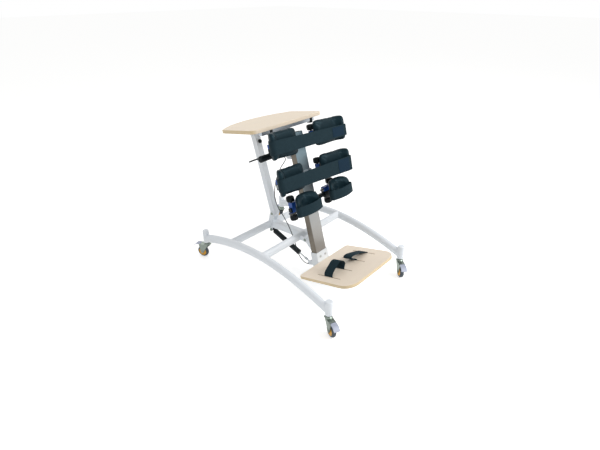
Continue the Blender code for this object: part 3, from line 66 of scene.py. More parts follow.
# Table: its slope, the way out of its face, and the origin of its own frame
TABLE_SLOPE = math.radians(10.5)
TABLE_NORMAL = (0.0, math.sin(TABLE_SLOPE), math.cos(TABLE_SLOPE))
TABLE_ORIGIN = (0.0, 0.0746, 0.94116)

# Levels of the supports' cross bars, up the column from its pivot
BAR_LEVEL = {support: float(np.dot(UPWARD, np.array(JOINTS[support + "_lift"]["pos_m"]) - PIVOT))
             for support in ("chest", "hip", "knee")}

# Sliders: a sleeve on the bar carries a blue block, with a clamping knob on a short stem
BAR_DEPTH = -0.0981           # of the chest and hip bars, from the pivot
SLIDER_REACH = 0.0168         # from a bar's middle to the top of the sleeve
SLIDER_BLOCK = 0.022
SLIDER_KNOB_X = 0.088
SLIDER_KNOB_RADIUS = 0.0212
KNEE_BAR_DEPTH = -0.1046
KNEE_REACH = 0.0153
KNEE_BLOCK = 0.026
KNEE_FOOT = 0.010             # height of the lower knob's seat under the sleeve
KNEE_KNOB_X = {"left": (-0.185, -0.185), "right": (0.152, 0.112)}     # of the upper and the lower knob
KNEE_KNOB_RADIUS = 0.0222
KNOB_HEIGHT = 0.0306
KNOB_STEM = 0.0058

# Pads: the left one of a pair is set further out and lower, and each pair is rolled in its plane
PAD_ROLL = math.radians(3.0)
LEFT_SETTING = 0.017
LEFT_DROP = 0.009
PAD_INNER_END = 0.062
PAD_DEPTH = -0.1412           # of a pad's middle line, from the column's pivot
PAD_LEVELS = {"chest": BAR_LEVEL["chest"] + 0.028, "hip": BAR_LEVEL["hip"] + 0.027}
CUP_DEPTH = -0.1547
CUP_OFFSET = 0.140            # from the column to the middle of a cup
CUP_LEVEL = BAR_LEVEL["knee"] + 0.025
PAD_POWERS = (6.0, 5.0)       # of the superellipses round a pad's face and over its edge
CUP_POWERS = (2.7, 3.6)
SIDES_DRAWN_IN = 0.025        # share of a pad's half size, midway between its corners
PAD_RINGS = 36                # from the front of a pad to its back
RING_END = 86                 # degrees from the edge to the first and the last ring
RING_POINTS = 96
# Pressure thickens a form and draws its edges in, so a form starts slimmer, taller and longer
FORM_SLIMMER = 0.005
FORM_TALLER = 0.004
PAD_LONGER = 0.006
CLOTH_FRAMES = 20
CLOTH_PRESSURE = 4.0

# Straps on the pads
STRAP_STEP = 0.004            # between two rings of a strap
STRAP_GAP = 0.0015            # from a pad to its strap
STRAP_HOLD = 0.100            # of a strap along the back of its left pad
WRAP_HOLD = 0.070             # of the short piece on the right pad
STRAP_PAST_TIP = 0.018        # from the right pad's tip to the strap's end
WRAP_PAST_TIP = 0.024
TURN_BEFORE_TIP = 0.010
LEFT_CLOSER, RIGHT_CLOSER, WRAP_CLOSER = 0.0020, -0.0022, 0.0012      # than the gap, at a pad's tip
TIP_POINTS = 24               # of a strap along a pad's back, and again round its tip
# Lower and upper edge of a strap at its left and its right end, from the middle of its pads
STRAP_EDGES = {"chest": ((-0.050, 0.022), (-0.046, 0.018)), "hip": ((-0.051, 0.018), (-0.061, 0.024))}
TAPE_HALF_LENGTH = 0.050
TAPE_HALF_THICKNESS = 0.0006
TAPE_EDGE = 0.0005
TAPE_MARGIN = 0.006           # of webbing above and below the tape
TAPE_FROM_END = 0.002
TAPE_PROUD = 0.0003
KNEE_HOLD = 0.035
KNEE_CLOSER = 0.002
KNEE_BOW = 0.016              # of a knee strap, forward between the tips of its cup
KNEE_STRAP_DROP = 0.022       # of its middle below the middle of its cup
BOW_POINTS = 17

# Foot straps and the slots that they come out of
FOOT_TOP = -0.1405            # level of the footplate's face
SLOT_X = (0.1675, 0.0616)     # of the outer and the inner slot
FOOT_STRAP_REAR = -0.2289
FOOT_STRAP_STEP = 0.0025
STEPS_PER_STOP = 8
# Share of the way from the outer to the inner slot, and rise above the footplate
SLOT_RISES = (-0.012, -0.006, 0.0, 0.004)
FOOT_ROUTES = {"left": ((0.03, 0.014), (0.14, 0.026), (0.42, 0.042), (0.70, 0.057), (0.92, 0.057),
                        (1.12, 0.042), (1.14, 0.026), (1.04, 0.012)),
               "right": ((0.10, 0.009), (0.28, 0.015), (0.54, 0.023), (0.90, 0.033), (1.22, 0.040),
                         (1.42, 0.036), (1.40, 0.024), (1.12, 0.014))}
# Each slot gets a dark brown bed, which paints the shade inside the narrow slot
SLOT_SHADE_BED = (0.0018, 0.0825, 0.0012)       # half sizes of the dark bed of a slot
SLOT_SHADE_BED_EDGE = 0.0004
SLOT_SHADE_BED_PLACE = (-0.2599, -0.1432)       # of its middle, from the pivot and up the column

# Wheels: depth of the tread's crown, inner edge of the tyre, and the hub as (radius, inset from the side)
TYRE_CROWN = 0.009
TYRE_SHOULDER = 0.001
TYRE_INNER = (0.0255, 0.0015)
HUB_SIDE = ((0.006, 0.001), (0.010, -0.0008), (0.0115, 0.0022), (0.019, 0.0026), (0.021, 0.0004),
            (0.0265, 0.0008))
WHEEL_SIDES = 56
TREAD_POINTS = 15

# Small turned trim as (radius, height)
BRACKET_BOLT = ((0.0086, 0.0), (0.0086, 0.0016), (0.0070, 0.0034), (0.0035, 0.0044), (0.0004, 0.0046))
SPRING_BOLT = ((0.0105, 0.0), (0.0105, 0.0040), (0.0085, 0.0065), (0.0004, 0.0068))
SLIDER_PIN = ((0.0004, 0.0), (0.0072, 0.0), (0.0080, 0.0010), (0.0080, 0.0210))
TRIM_SIDES = 28
KNOB_SIDES = 60
KNOB_LOBE_DEPTH = 0.06
BRACKET_WALL = 0.0044         # of the foot bracket in front of the column, with its gap
BRACKET_BOLT_X = 0.022
BRACKET_BOLT_LEVEL = -0.108
SPRING_LUG_SIDE = -0.0143
SLIDER_PIN_START = 0.064
SLIDER_PIN_AHEAD = 0.004
CLIP_HALF = (0.011, 0.014, 0.015)
CLIP_EDGE = 0.0025
CLIP_PLACE = (0.030, -0.0365)             # behind and below the table's origin
CLIP_X = (-0.140, 0.185)

# Stage: lights as (name, place, watts, size), and the camera fitted to the photograph
FLOOR_HALF = 30.0
FLOOR_LIFT = 0.46
WORLD_LIGHT, WORLD_SEEN = 0.54, 1.0
LIGHTS = (("key", (1.6, -3.2, 3.2), 105.0, 2.0), ("fill", (-3.0, -1.4, 2.6), 12.0, 2.4),
          ("back", (0.4, 3.0, 3.0), 24.0, 2.0))
LIGHT_TARGET = (0.0, 0.0, 0.4)
CAMERA_SPOT = (-1.6575, -1.5214, 1.5904)
CAMERA_RIGHT = (0.67720, -0.73580, 0.0)
CAMERA_UP = (0.35750, 0.32900, 0.87400)
CAMERA_BACK = (-0.64310, -0.59190, 0.48590)
SENSOR_MM = 36.0
PICTURE_PIXELS = 600
FOCAL_PIXELS = 417.74
SHIFT_PIXELS = -6


def linear(hex_colour):
    """Turn an sRGB hex colour into linear red, green and blue."""
    channels = [int(hex_colour[i:i + 2], 16) / 255 for i in (1, 3, 5)]
    return [c / 12.92 if c <= 0.04045 else ((c + 0.055) / 1.055) ** 2.4 for c in channels]


def colour(name, description, default):
    """A colour that a user can change."""
    return FloatVectorProperty(name=name, description=description, subtype="COLOR", size=3, min=0, max=1,
                               default=linear(default))


def length(name, description, default):
    """A length in metres that a user can change."""
    return FloatProperty(name=name, description=description, default=default, min=0, unit="LENGTH")


class StandingFrameColours(bpy.types.PropertyGroup):
    """Finishes of the standing frame."""
    powder_coat: colour("Powder coat", "Base frame, mast and brackets", "#EAEFF4")
    zinc: colour("Zinc plate", "Caster forks and bolts", "#868F88")
    tyre: colour("Tyre", "Rubber of the wheels", "#4A525A")
    hub: colour("Hub", "Centres of the wheels", "#E0A51C")
    pedal: colour("Brake pedal", "Pressed steel of the brakes", "#A9AFC0")
    # The column tube's three tones are painted: reflection on the front, low down and high up, and shade on
    # the darker sides
    stainless: colour("Stainless steel", "Front of the column tube, low down", "#A5A3A0")
    stainless_reflection_high: colour("Stainless steel above", "Front of the column tube, high up", "#7F939C")
    stainless_side_shade: colour("Stainless steel side", "Sides of the column tube", "#716B62")
    bright_steel: colour("Bright steel", "Handles, lever and spring rod", "#C9CDCF")
    board: colour("Table face", "Lacquered face of the table", "#EFDFC8")
    # The footplate's face is the table's lacquer made lighter, which paints more light on the footplate
    foot_board_painted_light: colour("Footplate face", "Lacquered face of the footplate", "#FAEAD6")
    board_edge: colour("Board edge", "Edge of the table and the footplate", "#E3CDA6")
    black_plastic: colour("Black plastic", "Grips, knobs and cable", "#0C1619")
    black_paint: colour("Black paint", "Carriages and gas spring", "#111A1D")
    rail: colour("Aluminium rail", "Rail under the table and hip carriage", "#B9C0C6")
    blue: colour("Blue plastic", "Sliders of the supports", "#1B4FA0")
    upholstery: colour("Upholstery", "Pads and knee cups", "#0E2027")
    webbing: colour("Webbing", "Straps", "#203138")
    patch: colour("Hook and loop", "Fastener at the straps' ends", "#1B2F3F")
    # The slot colour is the brown of the slot walls, dark enough to paint the shade inside them
    slot: colour("Slot", "Routed slots of the footplate", "#4B2A1C")
    floor: colour("Floor", "Studio floor", "#FBFBFA")


class StandingFrameSizes(bpy.types.PropertyGroup):
    """Sizes of the soft pieces and trim."""
    pad_length: length("Pad length", "Along the pad's curl", 0.232)
    pad_height: length("Pad height", "Of a chest or hip pad", 0.146)
    pad_thickness: length("Pad thickness", "Of a chest or hip pad", 0.034)
    pad_straight: length("Straight part", "Of a pad before it curls", 0.148)
    pad_curl: length("Curl radius", "Of a pad's outer part", 0.060)
    cup_length: length("Cup length", "Along a knee cup's arc", 0.200)
    cup_height: length("Cup height", "Of a knee cup", 0.115)
    cup_thickness: length("Cup thickness", "Of a knee cup", 0.030)
    cup_radius: length("Cup radius", "Of a knee cup's arc", 0.090)
    voxel: length("Remesh size", "Of the pads before they are inflated", 0.0045)
    swell: length("Most swelling", "How far a point of a pad may move", 0.005)
    knee_strap_height: length("Knee strap height", "Of the knee straps", 0.057)
    strap_thickness: length("Strap thickness", "Of all straps on pads", 0.003)
    foot_strap_width: length("Foot strap width", "Of the foot straps", 0.060)
    foot_strap_thickness: length("Foot strap thickness", "Of the foot straps", 0.0025)
    wheel_radius: length("Wheel radius", "Of a caster", 0.0385)
    wheel_width: length("Wheel width", "Of a caster", 0.026)
    knob_lobes: IntProperty(name="Knob lobes", description="Grips round a clamping knob", default=6, min=3,
                            max=12)


def feed(tree, node, inputs):
    """Set a node's sockets by name or number: link what is given as an output, and write other values."""
    for key, value in inputs.items():
        if isinstance(value, bpy.types.NodeSocket):
            tree.links.new(value, node.inputs[key])
        else:
            node.inputs[key].default_value = value


def add(tree, kind, inputs=None, **settings):
    """Add a node, set its attributes and feed its sockets.

    A colour mix has its share and two colours at sockets 0, 6 and 7 and its result at 2. A map range has its
    value at 0, the range that it comes from at 1 and 2, and the range that it goes to at 3 and 4.
    """
    node = tree.nodes.new(kind)
    for key, value in settings.items():
        setattr(node, key, value)
    feed(tree, node, inputs or {})
    return node


def new_material(name):
    """Start a material and return it with its tree, its Principled shader and its coordinates."""
    made = bpy.data.materials.new(name)
    made.use_nodes = True
    tree = made.node_tree
    return made, tree, tree.nodes["Principled BSDF"], add(tree, "ShaderNodeTexCoord")


def shade(values, factor=1.0):
    """Make a colour darker or lighter by a factor."""
    return (*(min(1.0, v * factor) for v in values), 1.0)


def mean(tree, first, second):
    """The middle of two values."""
    both = add(tree, "ShaderNodeMath", {0: first, 1: second}, operation="ADD")
    return add(tree, "ShaderNodeMath", {0: both.outputs[0], 1: 0.5}, operation="MULTIPLY").outputs[0]


def sideways(tree, place):
    """How much a surface looks to either side, from 0 to 1."""
    facing = add(tree, "ShaderNodeSeparateXYZ", {0: place.outputs["Normal"]})
    return add(tree, "ShaderNodeMath", {0: facing.outputs[0]}, operation="ABSOLUTE").outputs[0]


ROUGH_SPREAD = 0.08


def speckled(name, tint, roughness, metallic, grain_mm, bump, spread, ior=1.5, stretch=(1, 1, 1)):
    """A finish whose tone, roughness and height follow one noise of a real grain size in millimetres."""
    made, tree, shader, place = new_material(name)
    grain_space = add(tree, "ShaderNodeMapping", {"Vector": place.outputs["Object"], "Scale": stretch})
    grain = add(tree, "ShaderNodeTexNoise",
                {"Vector": grain_space.outputs[0], "Scale": 1000.0 / grain_mm, "Detail": 3.0})
    # Broad clouds of about 70 mm
    broad = add(tree, "ShaderNodeTexNoise", {"Vector": place.outputs["Object"], "Scale": 14.0, "Detail": 2.0})
    half = mean(tree, grain.outputs[0], broad.outputs[0])
    tone = add(tree, "ShaderNodeMix", {0: half, 6: shade(tint, 1 - spread), 7: shade(tint, 1 + spread)},
               data_type="RGBA")
    rough = add(tree, "ShaderNodeMapRange",
                {0: half, 3: max(0.02, roughness - ROUGH_SPREAD), 4: roughness + ROUGH_SPREAD})
    height = add(tree, "ShaderNodeBump",
                 {"Height": grain.outputs[0], "Strength": bump, "Distance": grain_mm / 4000})
    feed(tree, shader, {"Base Color": tone.outputs[2], "Roughness": rough.outputs[0],
                        "Normal": height.outputs[0], "Metallic": metallic})
    if metallic < 0.5:
        shader.inputs["IOR"].default_value = ior
    return made


def polished_tube(name, low, high, side):
    """Polished leaning tube with painted reflection and shade: darker brownish sides, and a front that turns
    from pale to blue-grey up the column.

    Polish mirrors the room, and a white studio has nothing to mirror, so its reflections are painted on the
    tube as tones, with painted shade on its sides.
    """
    made, tree, shader, place = new_material(name)
    # Polishing lines about 1.5 mm apart and 75 mm long, drawn coarser than real ones so that they show
    lines_space = add(tree, "ShaderNodeMapping", {"Vector": place.outputs["Object"], "Rotation": (LEAN, 0, 0),
                                                  "Scale": (1, 1, 0.02)})
    lines = add(tree, "ShaderNodeTexNoise",
                {"Vector": lines_space.outputs[0], "Scale": 1000.0 / 1.5, "Detail": 3.0})
    start = float(np.dot(UPWARD, PIVOT))
    height = add(tree, "ShaderNodeVectorMath", {0: place.outputs["Object"], 1: UPWARD},
                 operation="DOT_PRODUCT")
    share = add(tree, "ShaderNodeMapRange", {0: height.outputs["Value"], 1: start + 0.05, 2: start + 0.55})
    # Painted reflection: the front turns from the low tone to the high one up the column
    front = add(tree, "ShaderNodeMix", {0: share.outputs[0], 6: shade(low), 7: shade(high)}, data_type="RGBA")
    # Painted shade: surfaces that look sideways take the darker brownish side tone
    side_shade_share = add(tree, "ShaderNodeMapRange", {0: sideways(tree, place), 1: 0.3, 2: 0.95})
    painted_reflection_tone = add(tree, "ShaderNodeMix", {0: side_shade_share.outputs[0], 6: front.outputs[2], 7: shade(side)},
                 data_type="RGBA")
    streak = add(tree, "ShaderNodeMapRange", {0: lines.outputs[0], 3: 0.92, 4: 1.08})
    tone = add(tree, "ShaderNodeVectorMath", {0: painted_reflection_tone.outputs[2], "Scale": streak.outputs[0]},
               operation="SCALE")
    rough = add(tree, "ShaderNodeMapRange", {0: lines.outputs[0], 3: 0.36, 4: 0.48})
    bump = add(tree, "ShaderNodeBump", {"Height": lines.outputs[0], "Strength": 0.03, "Distance": 0.0004})
    feed(tree, shader, {"Base Color": tone.outputs[0], "Roughness": rough.outputs[0],
                        "Normal": bump.outputs[0], "Metallic": 1.0})
    return made


PLY_PITCH = 0.0035


def wooden(name, face, edge, normal, layers_and_shade_on_ends=False):
    """Lacquered board: pale face with fine streaks across the user, and a darker edge in thin layers.

    The face shows where the surface looks along the board's own normal or against it, and also on the
    long edges if only the ends are to show the layers; those sideways ends then keep the darker edge tone,
    which also paints their shade.
    """
    made, tree, shader, place = new_material(name)
    # Streaks about 3 mm wide and 120 mm long, drawn coarser than real pores so that they show
    grain_space = add(tree, "ShaderNodeMapping",
                      {"Vector": place.outputs["Object"], "Scale": (0.025, 1.0, 1.0)})
    grain = add(tree, "ShaderNodeTexNoise", {"Vector": grain_space.outputs[0], "Scale": 330.0, "Detail": 4.0})
    cloud = add(tree, "ShaderNodeTexNoise", {"Vector": place.outputs["Object"], "Scale": 9.0, "Detail": 2.0})
    half = mean(tree, grain.outputs[0], cloud.outputs[0])
    tone = add(tree, "ShaderNodeMix", {0: half, 6: shade(face, 0.90), 7: shade(face, 1.06)}, data_type="RGBA")
    facing = add(tree, "ShaderNodeVectorMath", {0: place.outputs["Normal"], 1: normal},
                 operation="DOT_PRODUCT")
    level = add(tree, "ShaderNodeMath", {0: facing.outputs["Value"]}, operation="ABSOLUTE")
    on_face = add(tree, "ShaderNodeMapRange", {0: level.outputs[0], 1: 0.55, 2: 0.9})
    # The table's sideways ends keep the darker layered edge tone: partly the ply's own edge, partly painted
    # shade
    if layers_and_shade_on_ends:
        long_edge_without_shade = add(tree, "ShaderNodeMapRange",
                        {0: sideways(tree, place), 1: 0.4, 2: 0.8, 3: 1.0, 4: 0.0})
        on_face = add(tree, "ShaderNodeMath", {0: on_face.outputs[0], 1: long_edge_without_shade.outputs[0]},
                      operation="MAXIMUM")
    through = add(tree, "ShaderNodeVectorMath", {0: place.outputs["Object"], 1: normal},
                  operation="DOT_PRODUCT")
    layers = add(tree, "ShaderNodeMath", {0: through.outputs["Value"], 1: 2 * math.pi / PLY_PITCH},
                 operation="MULTIPLY")
    wave = add(tree, "ShaderNodeMath", {0: layers.outputs[0]}, operation="SINE")
    band = add(tree, "ShaderNodeMapRange", {0: wave.outputs[0], 1: -1.0, 2: 1.0})
    ply = add(tree, "ShaderNodeMix", {0: band.outputs[0], 6: shade(edge, 0.92), 7: shade(edge, 1.05)},
              data_type="RGBA")
    skin = add(tree, "ShaderNodeMix", {0: on_face.outputs[0], 6: ply.outputs[2], 7: tone.outputs[2]},
               data_type="RGBA")
    rough = add(tree, "ShaderNodeMapRange", {0: half, 3: 0.36, 4: 0.52})
    bump = add(tree, "ShaderNodeBump", {"Height": grain.outputs[0], "Strength": 0.06, "Distance": 0.0003})
    feed(tree, shader, {"Base Color": skin.outputs[2], "Roughness": rough.outputs[0],
                        "Normal": bump.outputs[0], "IOR": 1.5})
    return made


def upholstered(name, tint):
    """Black coated fabric over foam: a fine leather grain of about 1.6 mm cells and a soft satin shine."""
    made, tree, shader, place = new_material(name)
    cells = add(tree, "ShaderNodeTexVoronoi", {"Vector": place.outputs["Object"], "Scale": 1000.0 / 1.6},
                feature="SMOOTH_F1")
    broad = add(tree, "ShaderNodeTexNoise", {"Vector": place.outputs["Object"], "Scale": 30.0, "Detail": 3.0})
    tone = add(tree, "ShaderNodeMix", {0: broad.outputs[0], 6: shade(tint, 0.80), 7: shade(tint, 1.35)},
               data_type="RGBA")
    rough = add(tree, "ShaderNodeMapRange", {0: broad.outputs[0], 1: 0.3, 2: 0.7, 3: 0.36, 4: 0.50})
    bump = add(tree, "ShaderNodeBump", {"Height": cells.outputs[0], "Strength": 0.25, "Distance": 0.0004})
    # A worn matt coating with a blue-green cast, so the white room shows only on the rounded corners
    feed(tree, shader, {"Base Color": tone.outputs[2], "Roughness": rough.outputs[0],
                        "Normal": bump.outputs[0], "IOR": 1.28, "Specular Tint": (0.55, 0.86, 1.0, 1.0)})
    return made


WEAVE_PITCH = 0.003


def woven(name, tint):
    """Black webbing: a weave on the strap's own UV in metres, drawn 3 mm apart so that it shows."""
    made, tree, shader, place = new_material(name)
    split = add(tree, "ShaderNodeSeparateXYZ", {0: place.outputs["UV"]})
    waves = []
    for axis in (0, 1):
        angle = add(tree, "ShaderNodeMath", {0: split.outputs[axis], 1: 2 * math.pi / WEAVE_PITCH},
                    operation="MULTIPLY")
        waves.append(add(tree, "ShaderNodeMath", {0: angle.outputs[0]}, operation="SINE").outputs[0])
    cross = add(tree, "ShaderNodeMath", {0: waves[0], 1: waves[1]}, operation="MULTIPLY")
    weave = add(tree, "ShaderNodeMapRange", {0: cross.outputs[0], 1: -1.0, 2: 1.0})
    fluff = add(tree, "ShaderNodeTexNoise", {"Vector": place.outputs["Object"], "Scale": 60.0, "Detail": 4.0})
    half = mean(tree, weave.outputs[0], fluff.outputs[0])
    tone = add(tree, "ShaderNodeMix", {0: half, 6: shade(tint, 0.70), 7: shade(tint, 1.35)}, data_type="RGBA")
    bump = add(tree, "ShaderNodeBump", {"Height": weave.outputs[0], "Strength": 0.35, "Distance": 0.0005})
    feed(tree, shader, {"Base Color": tone.outputs[2], "Roughness": 0.82, "Normal": bump.outputs[0],
                        "IOR": 1.2})
    return made


BLUE_MARGIN = 0.0002


def sleeved(name, blue, black, low, high):
    """Nylon slider: a blue block on a black sleeve, with a fine moulded grain.

    The blue shows between a lower and an upper level, measured up the leaning column from its pivot.
    """
    made, tree, shader, place = new_material(name)
    middle = float(np.dot(UPWARD, PIVOT)) + (low + high) / 2
    height = add(tree, "ShaderNodeVectorMath", {0: place.outputs["Object"], 1: UPWARD},
                 operation="DOT_PRODUCT")
    above = add(tree, "ShaderNodeMath", {0: height.outputs["Value"], 1: middle}, operation="SUBTRACT")
    away = add(tree, "ShaderNodeMath", {0: above.outputs[0]}, operation="ABSOLUTE")
    outside = add(tree, "ShaderNodeMath", {0: away.outputs[0], 1: (high - low) / 2 + BLUE_MARGIN},
                  operation="GREATER_THAN")
    grain = add(tree, "ShaderNodeTexNoise",
                {"Vector": place.outputs["Object"], "Scale": 1000.0 / 1.5, "Detail": 3.0})
    block = add(tree, "ShaderNodeMix", {0: grain.outputs[0], 6: shade(blue, 0.88), 7: shade(blue, 1.12)},
                data_type="RGBA")
    sleeve = add(tree, "ShaderNodeMix", {0: grain.outputs[0], 6: shade(black, 0.8), 7: shade(black, 1.2)},
                 data_type="RGBA")
    tone = add(tree, "ShaderNodeMix", {0: outside.outputs[0], 6: block.outputs[2], 7: sleeve.outputs[2]},
               data_type="RGBA")
    rough = add(tree, "ShaderNodeMapRange", {0: grain.outputs[0], 3: 0.30, 4: 0.46})
    bump = add(tree, "ShaderNodeBump", {"Height": grain.outputs[0], "Strength": 0.08, "Distance": 0.0004})
    feed(tree, shader, {"Base Color": tone.outputs[2], "Roughness": rough.outputs[0],
                        "Normal": bump.outputs[0], "IOR": 1.53})
    return made


# Speckled finishes: name, roughness, metallic, grain in mm, bump, spread of the tone, IOR and stretch
SPECKLED = {
    # Sprayed powder melts to a smooth satin skin with a faint orange peel
    "powder_coat": ("white powder coat", 0.34, 0.0, 3.0, 0.05, 0.02),
    # Electroplated zinc looks grey-green, cloudy and half dull
    "zinc": ("zinc plated steel", 0.36, 1.0, 4.0, 0.05, 0.16),
    # Rubber is dull and a little dusty
    "tyre": ("moulded rubber tyre", 0.68, 0.0, 2.5, 0.12, 0.15),
    # Nylon gives the hub a soft gloss
    "hub": ("amber nylon hub", 0.38, 0.0, 2.0, 0.04, 0.06, 1.53),
    # Thin paint lets the steel shine a little
    "pedal": ("lilac painted pressed steel", 0.40, 0.2, 3.0, 0.05, 0.08),
    # Plating shows as pale metal with long soft lights
    "bright_steel": ("bright plated steel", 0.30, 1.0, 3.0, 0.02, 0.06),
    # A moulded grain keeps black plastic from shining
    "black_plastic": ("black moulded plastic", 0.45, 0.0, 1.2, 0.15, 0.18, 1.25),
    # Satin paint catches the light on its edges only
    "black_paint": ("satin black paint", 0.38, 0.0, 2.0, 0.06, 0.12, 1.30),
    # Drawn aluminium has fine lines along its length
    "rail": ("anodised aluminium", 0.34, 1.0, 1.5, 0.04, 0.06, 1.5, (0.03, 1, 1)),
    # Beds in the routed slots: the brown of the walls, dark enough to paint the shade inside the narrow slots
    "slot": ("scorched slot wall", 0.7, 0.0, 2.0, 0.2, 0.25),
    # Hook tape is a dull pile with a bluish cast
    "patch": ("hook and loop tape", 0.85, 0.0, 1.6, 0.6, 0.30, 1.2),
}

# Sliders: name, bar, and where the blue starts and ends above the bar's middle
SLEEVED = {
    "chest_slider": ("blue nylon chest slider", "chest", SLIDER_REACH, SLIDER_REACH + SLIDER_BLOCK),
    "hip_slider": ("blue nylon hip slider", "hip", SLIDER_REACH, SLIDER_REACH + SLIDER_BLOCK),
    "knee_slider_left": ("blue nylon left knee slider", "knee", -KNEE_REACH, KNEE_REACH + KNEE_BLOCK),
    "knee_slider_right": ("blue nylon right knee slider", "knee", KNEE_REACH, KNEE_REACH + KNEE_BLOCK),
}

PATTERNED = {
    # Polished along the tube, so faint lines run up the column; its tones are painted reflection and shade
    "stainless": lambda tint: polished_tube("polished stainless steel", tint.stainless, tint.stainless_reflection_high,
                                            tint.stainless_side_shade),
    # Matt black with a soft light on the rounded corners
    "upholstery": lambda tint: upholstered("black coated upholstery", tint.upholstery),
    # Dull cloth, a little paler than the pads
    "webbing": lambda tint: woven("black woven webbing", tint.webbing),
    # Pale faces under a satin lacquer, with painted shade on the table's sideways ends
    "table_wood": lambda tint: wooden("lacquered table board", tint.board, tint.board_edge, TABLE_NORMAL,
                                      True),
    # The footplate's lighter face tone is painted light
    "foot_wood": lambda tint: wooden("lacquered footplate board", tint.foot_board_painted_light, tint.board_edge, UPWARD),
}

MATERIALS = {}


def finish(key):
    """Give a finish by name, made once."""
    tint = bpy.context.scene.standing_frame_colours
    if key not in MATERIALS:
        if key in SPECKLED:
            name, *look = SPECKLED[key]
            MATERIALS[key] = speckled(name, getattr(tint, key), *look)
        elif key in SLEEVED:
            name, bar, low, high = SLEEVED[key]
            MATERIALS[key] = sleeved(name, tint.blue, tint.black_plastic, BAR_LEVEL[bar] + low,
                                     BAR_LEVEL[bar] + high)
        else:
            MATERIALS[key] = PATTERNED[key](tint)
    return MATERIALS[key]


# Hard solids by finish, with the width that eases their edges
HARD_PIECES = (
    ("powder_coat", 0.0012, ("rail_left", "rail_right", "crossbar_front", "crossbar_rear", "spine_tube",
                             "column_bracket", "carrier_lug", "foot_bracket", "footplate_tray", "mast_tube",
                             "table_carrier")),
    ("zinc", 0.0006, ("column_pivot_bolt", "mast_pivot_bolt",
                      *("caster_fork_" + corner for corner in CORNERS))),
    ("pedal", 0.0008, ["brake_pedal_" + corner for corner in CORNERS]),
    ("stainless", 0.0, ("column_tube",)),
    ("bright_steel", 0.0006, ("handle_left", "handle_right", "release_lever", "spring_rod")),
    ("black_plastic", 0.0006, ("grip_left", "grip_right", "mast_knob")),
    ("black_plastic", 0.0, ("release_cable",)),
    ("black_paint", 0.0010, ("spring_cylinder", "chest_carriage", "knee_carriage")),
    ("rail", 0.0010, ("table_rail", "hip_carriage")),
)
TABLE_EDGE = 0.0022
FOOTPLATE_EDGE = 0.0016
SLIDER_EDGE = 0.0012

WELD_DISTANCE = 0.00002
FLAT_ANGLE = math.radians(0.5)
EDGE_ANGLE = math.radians(38)
SHARP_ANGLE = math.radians(50)


def dress(node, key, edge):
    """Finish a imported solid: modifiers weld its triangles, ease its edges and smooth its curved faces."""
    solid = NODES[node]
    solid.data.materials.clear()
    solid.data.materials.append(finish(key))
    solid.data.shade_smooth()
    solid.modifiers.new("weld", "WELD").merge_threshold = WELD_DISTANCE
    flat = solid.modifiers.new("flat", "DECIMATE")
    flat.decimate_type = "DISSOLVE"
    flat.angle_limit = FLAT_ANGLE
    if edge > 0:
        ease = solid.modifiers.new("ease", "BEVEL")
        ease.width = edge
        ease.segments = 2
        ease.limit_method = "ANGLE"
        ease.angle_limit = EDGE_ANGLE
        ease.use_clamp_overlap = True
    smooth = solid.modifiers.new("smooth", "WEIGHTED_NORMAL")
    smooth.weight = 60
    smooth.keep_sharp = False


def leaning(points, angle, origin):
    """Turn (x, back, up) in a frame that leans by an angle at an origin into world points."""
    x, back, up = np.moveaxis(np.asarray(points, float), -1, 0)
    y = back * math.cos(angle) + up * math.sin(angle)
    z = up * math.cos(angle) - back * math.sin(angle)
    return np.stack([x, y, z], -1) + origin


def in_column(points):
    """Turn points in the leaning column's frame into world points."""
    return leaning(points, LEAN, PIVOT)


def in_pads(points, level):
    """Turn points in the rolled frame of a pair of pads into world points."""
    x, y, z = np.moveaxis(points, -1, 0)
    rolled_x = x * math.cos(PAD_ROLL) + z * math.sin(PAD_ROLL)
    rolled_z = z * math.cos(PAD_ROLL) - x * math.sin(PAD_ROLL)
    return in_column(np.stack([rolled_x, y, rolled_z + level], -1))


def grid_faces(rows, columns, close_rows=False):
    """Faces of a grid of points whose columns close on themselves.

    Rows close too if asked; otherwise the first and last row get a cap.
    """
    row = np.arange(rows if close_rows else rows - 1)[:, None]
    column = np.arange(columns)[None, :]
    after = (column + 1) % columns
    below = (row + 1) % rows
    quads = np.stack([row * columns + column, row * columns + after, below * columns + after,
                      below * columns + column], -1)
    faces = quads.reshape(-1, 4).tolist()
    if not close_rows:
        faces += [list(range(columns))[::-1], list(range((rows - 1) * columns, rows * columns))]
    return faces


def piece(name, points, key, body, close_rows=False, uv=None):
    """Make an object from a grid of points (rows, columns, 3), with UVs for its points if given."""
    mesh = bpy.data.meshes.new(name)
    mesh.from_pydata(points.reshape(-1, 3).tolist(), [], grid_faces(*points.shape[:2], close_rows))
    shape = bmesh.new()
    shape.from_mesh(mesh)
    bmesh.ops.recalc_face_normals(shape, faces=shape.faces)
    shape.to_mesh(mesh)
    shape.free()
    if uv is not None:
        layer = mesh.uv_layers.new(name="strap")
        corners = np.empty(len(mesh.loops), dtype=np.int32)
        mesh.loops.foreach_get("vertex_index", corners)
        layer.data.foreach_set("uv", uv.reshape(-1, 2)[corners].astype(np.float32).ravel())
    mesh.shade_smooth()
    mesh.set_sharp_from_angle(angle=SHARP_ANGLE)
    return settle(name, mesh, key, body)


def settle(name, mesh, key, body):
    """Link a mesh as a piece, give it its finish, and let it ride on its body."""
    made = bpy.data.objects.new(name, mesh)
    bpy.context.scene.collection.objects.link(made)
    mesh.materials.clear()
    mesh.materials.append(finish(key))
    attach(made, body)
    return made


